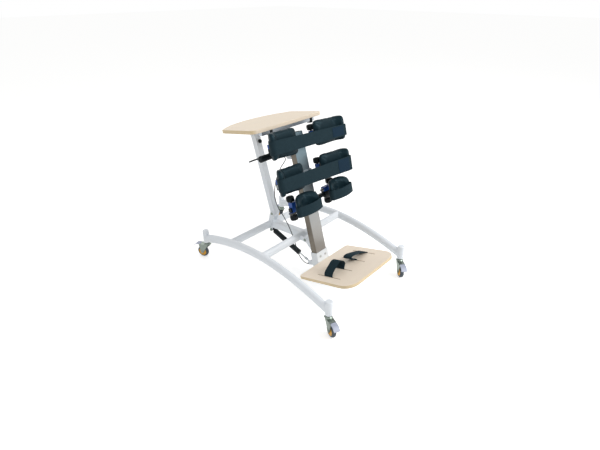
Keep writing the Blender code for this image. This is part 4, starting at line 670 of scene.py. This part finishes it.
def turned(profile, sides, lobes=0, depth=0.0):
    """Points of a profile of (radius, height) carried round an axis: (r cos t, r sin t, h).

    With lobes the radius swells by depth times the cosine of so many turns.
    """
    profile = np.asarray(profile, float)
    t = np.linspace(0, 2 * np.pi, sides, endpoint=False)
    radius = profile[:, :1] * (1 + depth * np.cos(lobes * t)[None, :])
    height = np.broadcast_to(profile[:, 1:], radius.shape)
    return np.stack([radius * np.cos(t), radius * np.sin(t), height], -1)


def ring(half_x, half_y, radius, steps=4):
    """Outline of a rectangle with round corners: the corner centres plus a quarter circle each."""
    quarter = np.repeat(np.arange(4), steps + 1)
    angle = np.tile(np.linspace(0, np.pi / 2, steps + 1), 4) + quarter * np.pi / 2
    sign_x = np.array([1, -1, -1, 1])[quarter]
    sign_y = np.array([1, 1, -1, -1])[quarter]
    return np.stack([sign_x * (half_x - radius) + radius * np.cos(angle),
                     sign_y * (half_y - radius) + radius * np.sin(angle)], -1)


def rounded_block(half, radius):
    """Points of a box with round edges: the outline shrinks along a quarter circle towards either end."""
    turn = np.linspace(0, np.pi / 2, 4)
    inset = radius * (1 - np.sin(turn))
    height = half[2] - radius * (1 - np.cos(turn))
    rows = []
    for i, h in zip([*inset, *inset[::-1]], [*-height, *height[::-1]]):
        outline = ring(half[0] - i, half[1] - i, max(radius - i, 1e-4))
        rows.append(np.column_stack([outline, np.full(len(outline), h)]))
    return np.array(rows)


def curl(s):
    """Middle line of a pad: straight, then an arc forward. Gives points (x, y) and forward normals."""
    size = bpy.context.scene.standing_frame_sizes
    turn = np.maximum(0.0, s - size.pad_straight) / size.pad_curl
    x = np.minimum(s, size.pad_straight) + size.pad_curl * np.sin(turn)
    return x, -size.pad_curl * (1 - np.cos(turn)), -np.sin(turn), -np.cos(turn)


def cup_line(s):
    """Middle line of a knee cup: one arc about its middle, both ends curling forward."""
    size = bpy.context.scene.standing_frame_sizes
    turn = (s - size.cup_length / 2) / size.cup_radius
    return size.cup_radius * np.sin(turn), -size.cup_radius * (1 - np.cos(turn)), -np.sin(turn), -np.cos(turn)


def cushion(line, long, high, thick, corner_power, edge_power):
    """Crowned pad bent along a line, as a grid of points.

    Rings are superellipses |x|^p + |z|^p = 1 whose size and depth follow a second superellipse from the
    middle of the front, round the edge, to the middle of the back. The sides are drawn in between corners.
    """
    tilt = np.radians(np.linspace(RING_END, -RING_END, PAD_RINGS))[:, None]
    t = np.linspace(0, 2 * np.pi, RING_POINTS, endpoint=False)[None, :]

    def power(value, exponent):
        return np.sign(value) * np.abs(value) ** exponent

    size = power(np.cos(tilt), 2 / edge_power) * (1 - SIDES_DRAWN_IN * np.cos(2 * t) ** 2)
    depth = thick / 2 * power(np.sin(tilt), 2 / edge_power) + 0 * t
    s = long / 2 * (1 + size * power(np.cos(t), 2 / corner_power))
    z = high / 2 * size * power(np.sin(t), 2 / corner_power)
    x, y, nx, ny = line(s)
    return np.stack([x + depth * nx, y + depth * ny, z], -1)


def places(mesh):
    """Places of a mesh's points."""
    flat = np.empty(len(mesh.vertices) * 3)
    mesh.vertices.foreach_get("co", flat)
    return flat.reshape(-1, 3)


def inflate(points, voxel, swell):
    """Remesh a pad evenly, press it out like stuffed cloth and return its points and faces.

    Each point moves by the simulated offset, shortened where it is longer than the limit.
    """
    scene = bpy.context.scene
    mesh = bpy.data.meshes.new("pad form")
    mesh.from_pydata(points.reshape(-1, 3).tolist(), [], grid_faces(*points.shape[:2]))
    form = bpy.data.objects.new("pad form", mesh)
    scene.collection.objects.link(form)
    remesh = form.modifiers.new("remesh", "REMESH")
    remesh.mode = "VOXEL"
    remesh.voxel_size = voxel
    even = bpy.data.meshes.new_from_object(form.evaluated_get(bpy.context.evaluated_depsgraph_get()))
    form.modifiers.clear()
    form.data = even
    rest = places(even)
    moved = rest
    cloth = form.modifiers.new("cloth", "CLOTH")
    cloth.settings.use_pressure = True
    cloth.settings.uniform_pressure_force = CLOTH_PRESSURE
    cloth.settings.effector_weights.gravity = 0.0
    cloth.settings.quality = 4
    cloth.point_cache.frame_start = 1
    cloth.point_cache.frame_end = CLOTH_FRAMES
    for number in range(1, CLOTH_FRAMES + 1):
        scene.frame_set(number)
    moved = places(form.evaluated_get(bpy.context.evaluated_depsgraph_get()).data)
    form.modifiers.clear()
    scene.frame_set(1)
    offset = moved - rest
    size = np.linalg.norm(offset, axis=1, keepdims=True)
    offset *= np.minimum(1.0, swell / np.maximum(size, 1e-9))
    faces = [tuple(polygon.vertices) for polygon in even.polygons]
    bpy.data.objects.remove(form)
    return rest + offset, faces


def pad_piece(name, points, faces, flip, body, node):
    """Place an inflated pad as a smooth padded piece that stands for its solid."""
    mesh = bpy.data.meshes.new(name)
    mesh.from_pydata(points.tolist(), [], [face[::-1] for face in faces] if flip else faces)
    mesh.shade_smooth()
    made = settle(name, mesh, "upholstery", body)
    finer = made.modifiers.new("finer", "SUBSURF")
    finer.levels = 1
    finer.render_levels = 1
    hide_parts(node)


class STANDING_FRAME_OT_metal(bpy.types.Operator):
    """Finish the base, the column, the mast, the table's carrier and the other hard solids."""
    bl_idname = "standing_frame.metal"
    bl_label = "Hard pieces"

    def execute(self, context):
        for key, edge, nodes in HARD_PIECES:
            for node in nodes:
                dress(node, key, edge)
        return {"FINISHED"}


class STANDING_FRAME_OT_boards(bpy.types.Operator):
    """Finish the table and the footplate as lacquered boards with eased edges."""
    bl_idname = "standing_frame.boards"
    bl_label = "Boards"

    def execute(self, context):
        dress("table_board", "table_wood", TABLE_EDGE)
        dress("footplate_board", "foot_wood", FOOTPLATE_EDGE)
        return {"FINISHED"}


class STANDING_FRAME_OT_wheels(bpy.types.Operator):
    """Make each wheel's tyre and amber hub, turned about its axle."""
    bl_idname = "standing_frame.wheels"
    bl_label = "Wheels"

    def execute(self, context):
        size = context.scene.standing_frame_sizes
        half = size.wheel_width / 2
        tread = np.radians(np.linspace(-90, 90, TREAD_POINTS))
        crown = np.stack([size.wheel_radius - TYRE_CROWN + TYRE_CROWN * np.cos(tread),
                          (half - TYRE_SHOULDER) * np.sin(tread)], -1)
        inner, inset = TYRE_INNER
        tyre = np.concatenate([[(inner, -half + inset)], crown, [(inner, half - inset)]])
        hub = [(r, -half + d) for r, d in HUB_SIDE] + [(r, half - d) for r, d in reversed(HUB_SIDE)]
        for corner in CORNERS:
            joint = JOINTS["roll_" + corner]
            axle = np.array(joint["axis"], float)
            turn = np.stack([np.cross(axle, (0, 0, 1)), np.array((0, 0, 1.0)), axle])
            for name, profile, key in (("tyre_", tyre, "tyre"), ("hub_", hub, "hub")):
                points = turned(profile, WHEEL_SIDES) @ turn + np.array(joint["pos_m"])
                made = piece(name + corner, points, key, "wheel_" + corner, close_rows=True)
                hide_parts("caster_wheel_" + corner)
        return {"FINISHED"}


class STANDING_FRAME_OT_pads(bpy.types.Operator):
    """Inflate one chest pad and one knee cup and place them as the six pads."""
    bl_idname = "standing_frame.pads"
    bl_label = "Pads"

    def execute(self, context):
        size = context.scene.standing_frame_sizes
        form = cushion(curl, size.pad_length + PAD_LONGER, size.pad_height + FORM_TALLER,
                       size.pad_thickness - FORM_SLIMMER, *PAD_POWERS)
        points, faces = inflate(form, size.voxel, size.swell)
        for support, level in PAD_LEVELS.items():
            for side, sign, out, drop in (("left", -1, LEFT_SETTING, LEFT_DROP), ("right", 1, 0, 0)):
                placed = (points + (PAD_INNER_END + out, PAD_DEPTH, 0)) * (sign, 1, 1) - (0, 0, drop)
                pad_piece(f"{support}_cushion_{side}", in_pads(placed, level), faces, sign < 0,
                          f"{support}_{side}", f"{support}_pad_{side}")
        form = cushion(cup_line, size.cup_length, size.cup_height + FORM_TALLER,
                       size.cup_thickness - FORM_SLIMMER, *CUP_POWERS)
        points, faces = inflate(form, size.voxel, size.swell)
        for side, sign in (("left", -1), ("right", 1)):
            placed = in_column(points + (sign * CUP_OFFSET, CUP_DEPTH, CUP_LEVEL))
            pad_piece(f"knee_cushion_{side}", placed, faces, False, f"knee_{side}", f"knee_cup_{side}")
        return {"FINISHED"}


def run_along(path):
    """Length along a path up to each of its points."""
    return np.concatenate([[0], np.cumsum(np.linalg.norm(np.diff(path, axis=0), axis=1))])


def strap_points(path, low, high, thick):
    """Strap with round edges: a thin rounded outline set across a flat path at each of its points.

    The lower and upper edge are one height each or one for every point. Gives points (rows, columns, 3) in
    (x, y, z) and UVs in metres along and across.
    """
    path = np.asarray(path, float)
    ahead = np.gradient(path, axis=0)
    ahead /= np.linalg.norm(ahead, axis=1, keepdims=True)
    side = np.stack([-ahead[:, 1], ahead[:, 0]], -1)
    low, high = (np.broadcast_to(edge, len(path))[:, None] for edge in (low, high))
    outline = ring(thick / 2, 1.0, thick * 0.49, 3)
    spot = path[:, None, :] + side[:, None, :] * outline[None, :, :1]
    stretch = np.sign(outline[None, :, 1]) * ((high - low) / 2 - 1.0)
    z = (low + high) / 2 + outline[None, :, 1] + stretch
    uv = np.stack([np.broadcast_to(run_along(path)[:, None], z.shape), z], -1)
    return np.concatenate([spot, z[..., None]], -1), uv


def resample(points, step):
    """Read points a fixed step apart from a polyline, so that bends and straight runs are divided alike."""
    points = np.asarray(points, float)
    run = run_along(points)
    at = np.linspace(0, run[-1], max(2, int(run[-1] / step)))
    return np.stack([np.interp(at, run, points[:, k]) for k in range(points.shape[1])], -1)


def round_tip(line, long, hold, thick, strap, origin, closer=0.0):
    """Path (x, y) of a strap along a pad's back and round its tip to the front, turning closer if asked."""
    turn_s = long - TURN_BEFORE_TIP
    offset = thick / 2 + strap / 2 + STRAP_GAP
    x, y, nx, ny = line(np.linspace(turn_s - hold, turn_s, TIP_POINTS))
    reach = offset - closer * np.linspace(0, 1, TIP_POINTS) ** 2
    back = np.stack([x - reach * nx, y - reach * ny], -1)
    angle = np.linspace(math.atan2(-ny[-1], -nx[-1]), -np.pi / 2, TIP_POINTS)[1:]
    turn = np.stack([x[-1] + (offset - closer) * np.cos(angle), y[-1] + (offset - closer) * np.sin(angle)],
                    -1)
    return np.concatenate([back, turn]) + origin


class STANDING_FRAME_OT_straps(bpy.types.Operator):
    """Run the chest, hip and knee straps round the pads' tips, with their hook and loop ends."""
    bl_idname = "standing_frame.straps"
    bl_label = "Pad straps"

    def execute(self, context):
        size = context.scene.standing_frame_sizes
        tips = (curl, size.pad_length)
        set_by = (size.pad_thickness, size.strap_thickness, (PAD_INNER_END, PAD_DEPTH))
        left = round_tip(*tips, STRAP_HOLD, *set_by, LEFT_CLOSER) * (-1, 1) - (LEFT_SETTING, 0)
        right = round_tip(*tips, STRAP_HOLD, *set_by, RIGHT_CLOSER)
        end = right[-1] - (STRAP_PAST_TIP, 0)
        path = resample(np.concatenate([left, [end]]), STRAP_STEP)
        share = np.clip((path[:, 0] - path[:, 0].min()) / (end[0] - path[:, 0].min()), 0, 1)
        inner = round_tip(*tips, WRAP_HOLD, *set_by, WRAP_CLOSER)
        under = resample(np.concatenate([inner, [inner[-1] - (WRAP_PAST_TIP, 0)]]), STRAP_STEP)
        front = end[1] - size.strap_thickness / 2
        for support, level in PAD_LEVELS.items():
            (low, high), (low_end, high_end) = STRAP_EDGES[support]
            points, uv = strap_points(path, low + (low_end - low) * share, high + (high_end - high) * share,
                                      size.strap_thickness)
            wrap, wrap_uv = strap_points(under, low_end, high_end, size.strap_thickness)
            tape = rounded_block((TAPE_HALF_LENGTH, (high_end - low_end) / 2 - TAPE_MARGIN,
                                  TAPE_HALF_THICKNESS), TAPE_EDGE)
            tape = np.stack([tape[..., 0] + end[0] - TAPE_FROM_END - TAPE_HALF_LENGTH,
                             front - TAPE_PROUD - tape[..., 2], tape[..., 1] + (high_end + low_end) / 2], -1)
            made = piece(support + "_band", in_pads(points, level), "webbing", support + "_left", uv=uv)
            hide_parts(support + "_strap")
            piece(support + "_band_end", in_pads(wrap, level), "webbing", support + "_right", uv=wrap_uv)
            piece(support + "_fastener", in_pads(tape, level), "patch", support + "_left")
        half = round_tip(cup_line, size.cup_length, KNEE_HOLD, size.cup_thickness - KNEE_CLOSER,
                         size.strap_thickness, (0, CUP_DEPTH))
        across = np.linspace(-1, 1, BOW_POINTS)[1:-1]
        bow = np.stack([across * half[-1][0], half[-1][1] - KNEE_BOW * (1 - across ** 2)], -1)
        path = resample(np.concatenate([half * (-1, 1), bow, half[::-1]]), STRAP_STEP)
        low = -KNEE_STRAP_DROP - size.knee_strap_height / 2
        points, uv = strap_points(path, low, low + size.knee_strap_height, size.strap_thickness)
        for side, sign in (("left", -1), ("right", 1)):
            placed = in_column(points + (sign * CUP_OFFSET, 0, CUP_LEVEL))
            made = piece(f"knee_band_{side}", placed, "webbing", f"knee_{side}", uv=uv)
            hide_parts(f"knee_strap_{side}")
        return {"FINISHED"}


def smooth_path(stops, steps):
    """Catmull-Rom curve through the stops: four neighbouring stops weighted by cubics of t."""
    ends = np.concatenate([2 * stops[:1] - stops[1:2], stops, 2 * stops[-1:] - stops[-2:-1]])
    a, b, c, d = (ends[k:len(ends) - 3 + k, None, :] for k in range(4))
    t = np.linspace(0, 1, steps, endpoint=False)[None, :, None]
    curve = 0.5 * (2 * b + (c - a) * t + (2 * a - 5 * b + 4 * c - d) * t ** 2
                   + (3 * b - a - 3 * c + d) * t ** 3)
    return np.concatenate([curve.reshape(-1, stops.shape[1]), stops[-1:]])


class STANDING_FRAME_OT_foot_straps(bpy.types.Operator):
    """Lay the two foot straps over the footplate, from slot to slot."""
    bl_idname = "standing_frame.foot_straps"
    bl_label = "Foot straps"

    def execute(self, context):
        size = context.scene.standing_frame_sizes
        outer, inner = SLOT_X
        for side, sign in (("left", -1), ("right", 1)):
            route = ([(0.0, rise) for rise in SLOT_RISES] + list(FOOT_ROUTES[side])
                     + [(1.0, rise) for rise in reversed(SLOT_RISES)])
            stops = np.array([(sign * (outer + (inner - outer) * share), FOOT_TOP + rise)
                              for share, rise in route])
            path = resample(smooth_path(stops, STEPS_PER_STOP), FOOT_STRAP_STEP)
            points, uv = strap_points(path, FOOT_STRAP_REAR - size.foot_strap_width, FOOT_STRAP_REAR,
                                      size.foot_strap_thickness)
            placed = in_column(points[..., [0, 2, 1]])
            made = piece(f"foot_band_{side}", placed, "webbing", "column", uv=uv)
            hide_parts(f"foot_strap_{side}")
        return {"FINISHED"}


def lobed_knob(radius, lobes):
    """Clamping knob: a domed profile in shares of radius and height, carried round with shallow lobes."""
    shares = ((0.30, 0.0), (0.86, 0.0), (0.96, 0.10), (1.02, 0.30), (1.02, 0.70), (0.95, 0.88), (0.76, 1.0),
              (0.45, 1.04), (0.10, 1.05))
    return turned(np.array(shares) * (radius, KNOB_HEIGHT), KNOB_SIDES, lobes, KNOB_LOBE_DEPTH)


class STANDING_FRAME_OT_sliders(bpy.types.Operator):
    """Finish the blue sliders and cover their clamping knobs with black lobed ones."""
    bl_idname = "standing_frame.sliders"
    bl_label = "Sliders and knobs"

    def execute(self, context):
        lobes = context.scene.standing_frame_sizes.knob_lobes
        for support in PAD_LEVELS:
            seat = BAR_LEVEL[support] + SLIDER_REACH + SLIDER_BLOCK + KNOB_STEM
            for side, sign, out in (("left", -1, LEFT_SETTING), ("right", 1, 0.0)):
                dress(f"{support}_slider_{side}", support + "_slider", SLIDER_EDGE)
                knob = lobed_knob(SLIDER_KNOB_RADIUS, lobes) + (sign * (SLIDER_KNOB_X + out), BAR_DEPTH, seat)
                piece(f"{support}_knob_{side}", in_column(knob), "black_plastic", f"{support}_{side}")
        level = BAR_LEVEL["knee"]
        for side, (above, below) in KNEE_KNOB_X.items():
            dress(f"knee_slider_{side}", f"knee_slider_{side}", SLIDER_EDGE)
            for where, x, seat, way in (("upper", above, level + KNEE_REACH + KNEE_BLOCK + KNOB_STEM, 1),
                                        ("lower", below, level - KNEE_REACH - KNEE_FOOT - KNOB_STEM, -1)):
                knob = lobed_knob(KNEE_KNOB_RADIUS, lobes) * (1, 1, way) + (x, KNEE_BAR_DEPTH, seat)
                piece(f"knee_knob_{where}_{side}", in_column(knob), "black_plastic", f"knee_{side}")
        pin = turned(SLIDER_PIN, TRIM_SIDES)[..., [2, 0, 1]]
        pin += (SLIDER_PIN_START, KNEE_BAR_DEPTH - SLIDER_PIN_AHEAD, level + KNEE_REACH + KNEE_BLOCK / 2)
        piece("knee_slider_pin", in_column(pin), "bright_steel", "knee_right")
        return {"FINISHED"}


class STANDING_FRAME_OT_trim(bpy.types.Operator):
    """Add the small trim: bolts, dark beds that paint the shade in the footplate's slots, and clips of the
    table's rail.
    """
    bl_idname = "standing_frame.trim"
    bl_label = "Small trim"

    def execute(self, context):
        head = turned(BRACKET_BOLT, TRIM_SIDES)[..., [0, 2, 1]] * (1, -1, 1)
        for number, x in enumerate((-BRACKET_BOLT_X, BRACKET_BOLT_X)):
            spot = head + (x, COLUMN_FRONT - BRACKET_WALL, BRACKET_BOLT_LEVEL)
            piece(f"foot_bracket_bolt_{number}", in_column(spot), "bright_steel", "column")
        head = turned(SPRING_BOLT, TRIM_SIDES)[..., [2, 0, 1]] * (-1, 1, 1)
        spot = head + (SPRING_LUG_SIDE, 0, 0) + JOINTS["spring_swing"]["pos_m"]
        piece("spring_bolt", spot, "zinc", "base")
        # Dark beds in the slots paint their shade
        strip = rounded_block(SLOT_SHADE_BED, SLOT_SHADE_BED_EDGE)
        outer, inner = SLOT_X
        for number, x in enumerate((-outer, -inner, inner, outer)):
            piece(f"slot_bed_{number}", in_column(strip + (x, *SLOT_SHADE_BED_PLACE)), "slot", "column")
        clip = rounded_block(CLIP_HALF, CLIP_EDGE)
        for number, x in enumerate(CLIP_X):
            placed = leaning(clip + (x, *CLIP_PLACE), TABLE_SLOPE, TABLE_ORIGIN)
            piece(f"table_rail_clip_{number}", placed, "black_plastic", "carrier")
        return {"FINISHED"}


def seen_directly(tree):
    """1 where the camera or a reflection looks, and 0 where light only bounces."""
    rays = add(tree, "ShaderNodeLightPath")
    return add(tree, "ShaderNodeMath", {0: rays.outputs["Is Camera Ray"], 1: rays.outputs["Is Glossy Ray"]},
               operation="MAXIMUM").outputs[0]


def lay_floor(scene):
    """Lay a pale floor under the object."""
    span = FLOOR_HALF
    mesh = bpy.data.meshes.new("studio_floor")
    mesh.from_pydata([(-span, -span, 0), (span, -span, 0), (span, span, 0), (-span, span, 0)], [],
                     [(0, 1, 2, 3)])
    floor = bpy.data.objects.new("studio_floor", mesh)
    scene.collection.objects.link(floor)
    paint, tree, shader, place = new_material("pale studio floor")
    # Matt paint that the camera sees lifted to white, with the object's shadow kept on it
    mottle = add(tree, "ShaderNodeTexNoise", {"Vector": place.outputs["Object"], "Scale": 3.0})
    tint = scene.standing_frame_colours.floor
    tone = add(tree, "ShaderNodeMix", {0: mottle.outputs[0], 6: shade(tint, 0.985), 7: shade(tint)},
               data_type="RGBA")
    lift = add(tree, "ShaderNodeMath", {0: seen_directly(tree), 1: FLOOR_LIFT}, operation="MULTIPLY")
    feed(tree, shader, {"Base Color": tone.outputs[2], "Roughness": 0.9, "Specular IOR Level": 0.0,
                        "Emission Color": (1, 1, 1, 1), "Emission Strength": lift.outputs[0]})
    mesh.materials.append(paint)


def stand(made, right, up, back, spot):
    """Stand an object at a spot, with its own axes along right, up and back."""
    made.matrix_world = Matrix([(right[k], up[k], back[k], spot[k]) for k in range(3)] + [(0, 0, 0, 1)])


def hang_lights(scene):
    """Surround the object with a white world and hang soft lights that face it."""
    world = bpy.data.worlds.new("studio")
    scene.world = world
    world.use_nodes = True
    tree = world.node_tree
    level = add(tree, "ShaderNodeMapRange", {0: seen_directly(tree), 3: WORLD_LIGHT, 4: WORLD_SEEN})
    feed(tree, tree.nodes["Background"], {"Color": (1, 1, 1, 1), "Strength": level.outputs[0]})
    for name, spot, power, size in LIGHTS:
        light = bpy.data.lights.new(name, "AREA")
        light.energy = power
        light.size = size
        lamp = bpy.data.objects.new(name, light)
        scene.collection.objects.link(lamp)
        aim = np.array(LIGHT_TARGET) - spot
        aim /= np.linalg.norm(aim)
        side = np.cross(aim, (0, 0, 1))
        side /= np.linalg.norm(side)
        stand(lamp, side, np.cross(side, aim), -aim, spot)


def set_camera(scene):
    """Set the camera where the photograph was taken from."""
    lens = bpy.data.cameras.new("photograph view")
    lens.sensor_width = SENSOR_MM
    lens.lens = SENSOR_MM * FOCAL_PIXELS / PICTURE_PIXELS
    lens.shift_y = SHIFT_PIXELS / PICTURE_PIXELS
    camera = bpy.data.objects.new("photograph view", lens)
    scene.collection.objects.link(camera)
    stand(camera, CAMERA_RIGHT, CAMERA_UP, CAMERA_BACK, CAMERA_SPOT)
    scene.camera = camera


class STANDING_FRAME_OT_stage(bpy.types.Operator):
    """Lay a pale floor, hang soft lights and set the camera at the photograph's angle."""
    bl_idname = "standing_frame.stage"
    bl_label = "Stage"

    def execute(self, context):
        scene = context.scene
        scene.view_settings.view_transform = "Standard"
        lay_floor(scene)
        hang_lights(scene)
        set_camera(scene)
        return {"FINISHED"}


OPERATORS = (STANDING_FRAME_OT_metal, STANDING_FRAME_OT_boards, STANDING_FRAME_OT_wheels,
             STANDING_FRAME_OT_pads, STANDING_FRAME_OT_straps, STANDING_FRAME_OT_foot_straps,
             STANDING_FRAME_OT_sliders, STANDING_FRAME_OT_trim, STANDING_FRAME_OT_stage)


class STANDING_FRAME_PT_sidebar(bpy.types.Panel):
    """Lists the steps that dress the standing frame."""
    bl_idname = "STANDING_FRAME_PT_sidebar"
    bl_label = "Standing frame"
    bl_space_type = "VIEW_3D"
    bl_region_type = "UI"
    bl_category = "Standing frame"

    def draw(self, context):
        for operator in OPERATORS:
            self.layout.operator(operator.bl_idname)


CLASSES = (StandingFrameColours, StandingFrameSizes, *OPERATORS, STANDING_FRAME_PT_sidebar)


def register():
    for item in CLASSES:
        bpy.utils.register_class(item)
    bpy.types.Scene.standing_frame_colours = PointerProperty(type=StandingFrameColours)
    bpy.types.Scene.standing_frame_sizes = PointerProperty(type=StandingFrameSizes)


def unregister():
    del bpy.types.Scene.standing_frame_sizes
    del bpy.types.Scene.standing_frame_colours
    for item in reversed(CLASSES):
        bpy.utils.unregister_class(item)


def main():
    register()
    for operator in OPERATORS:
        group, step = operator.bl_idname.split(".")
        getattr(getattr(bpy.ops, group), step)()


if __name__ == "__main__":
    main()
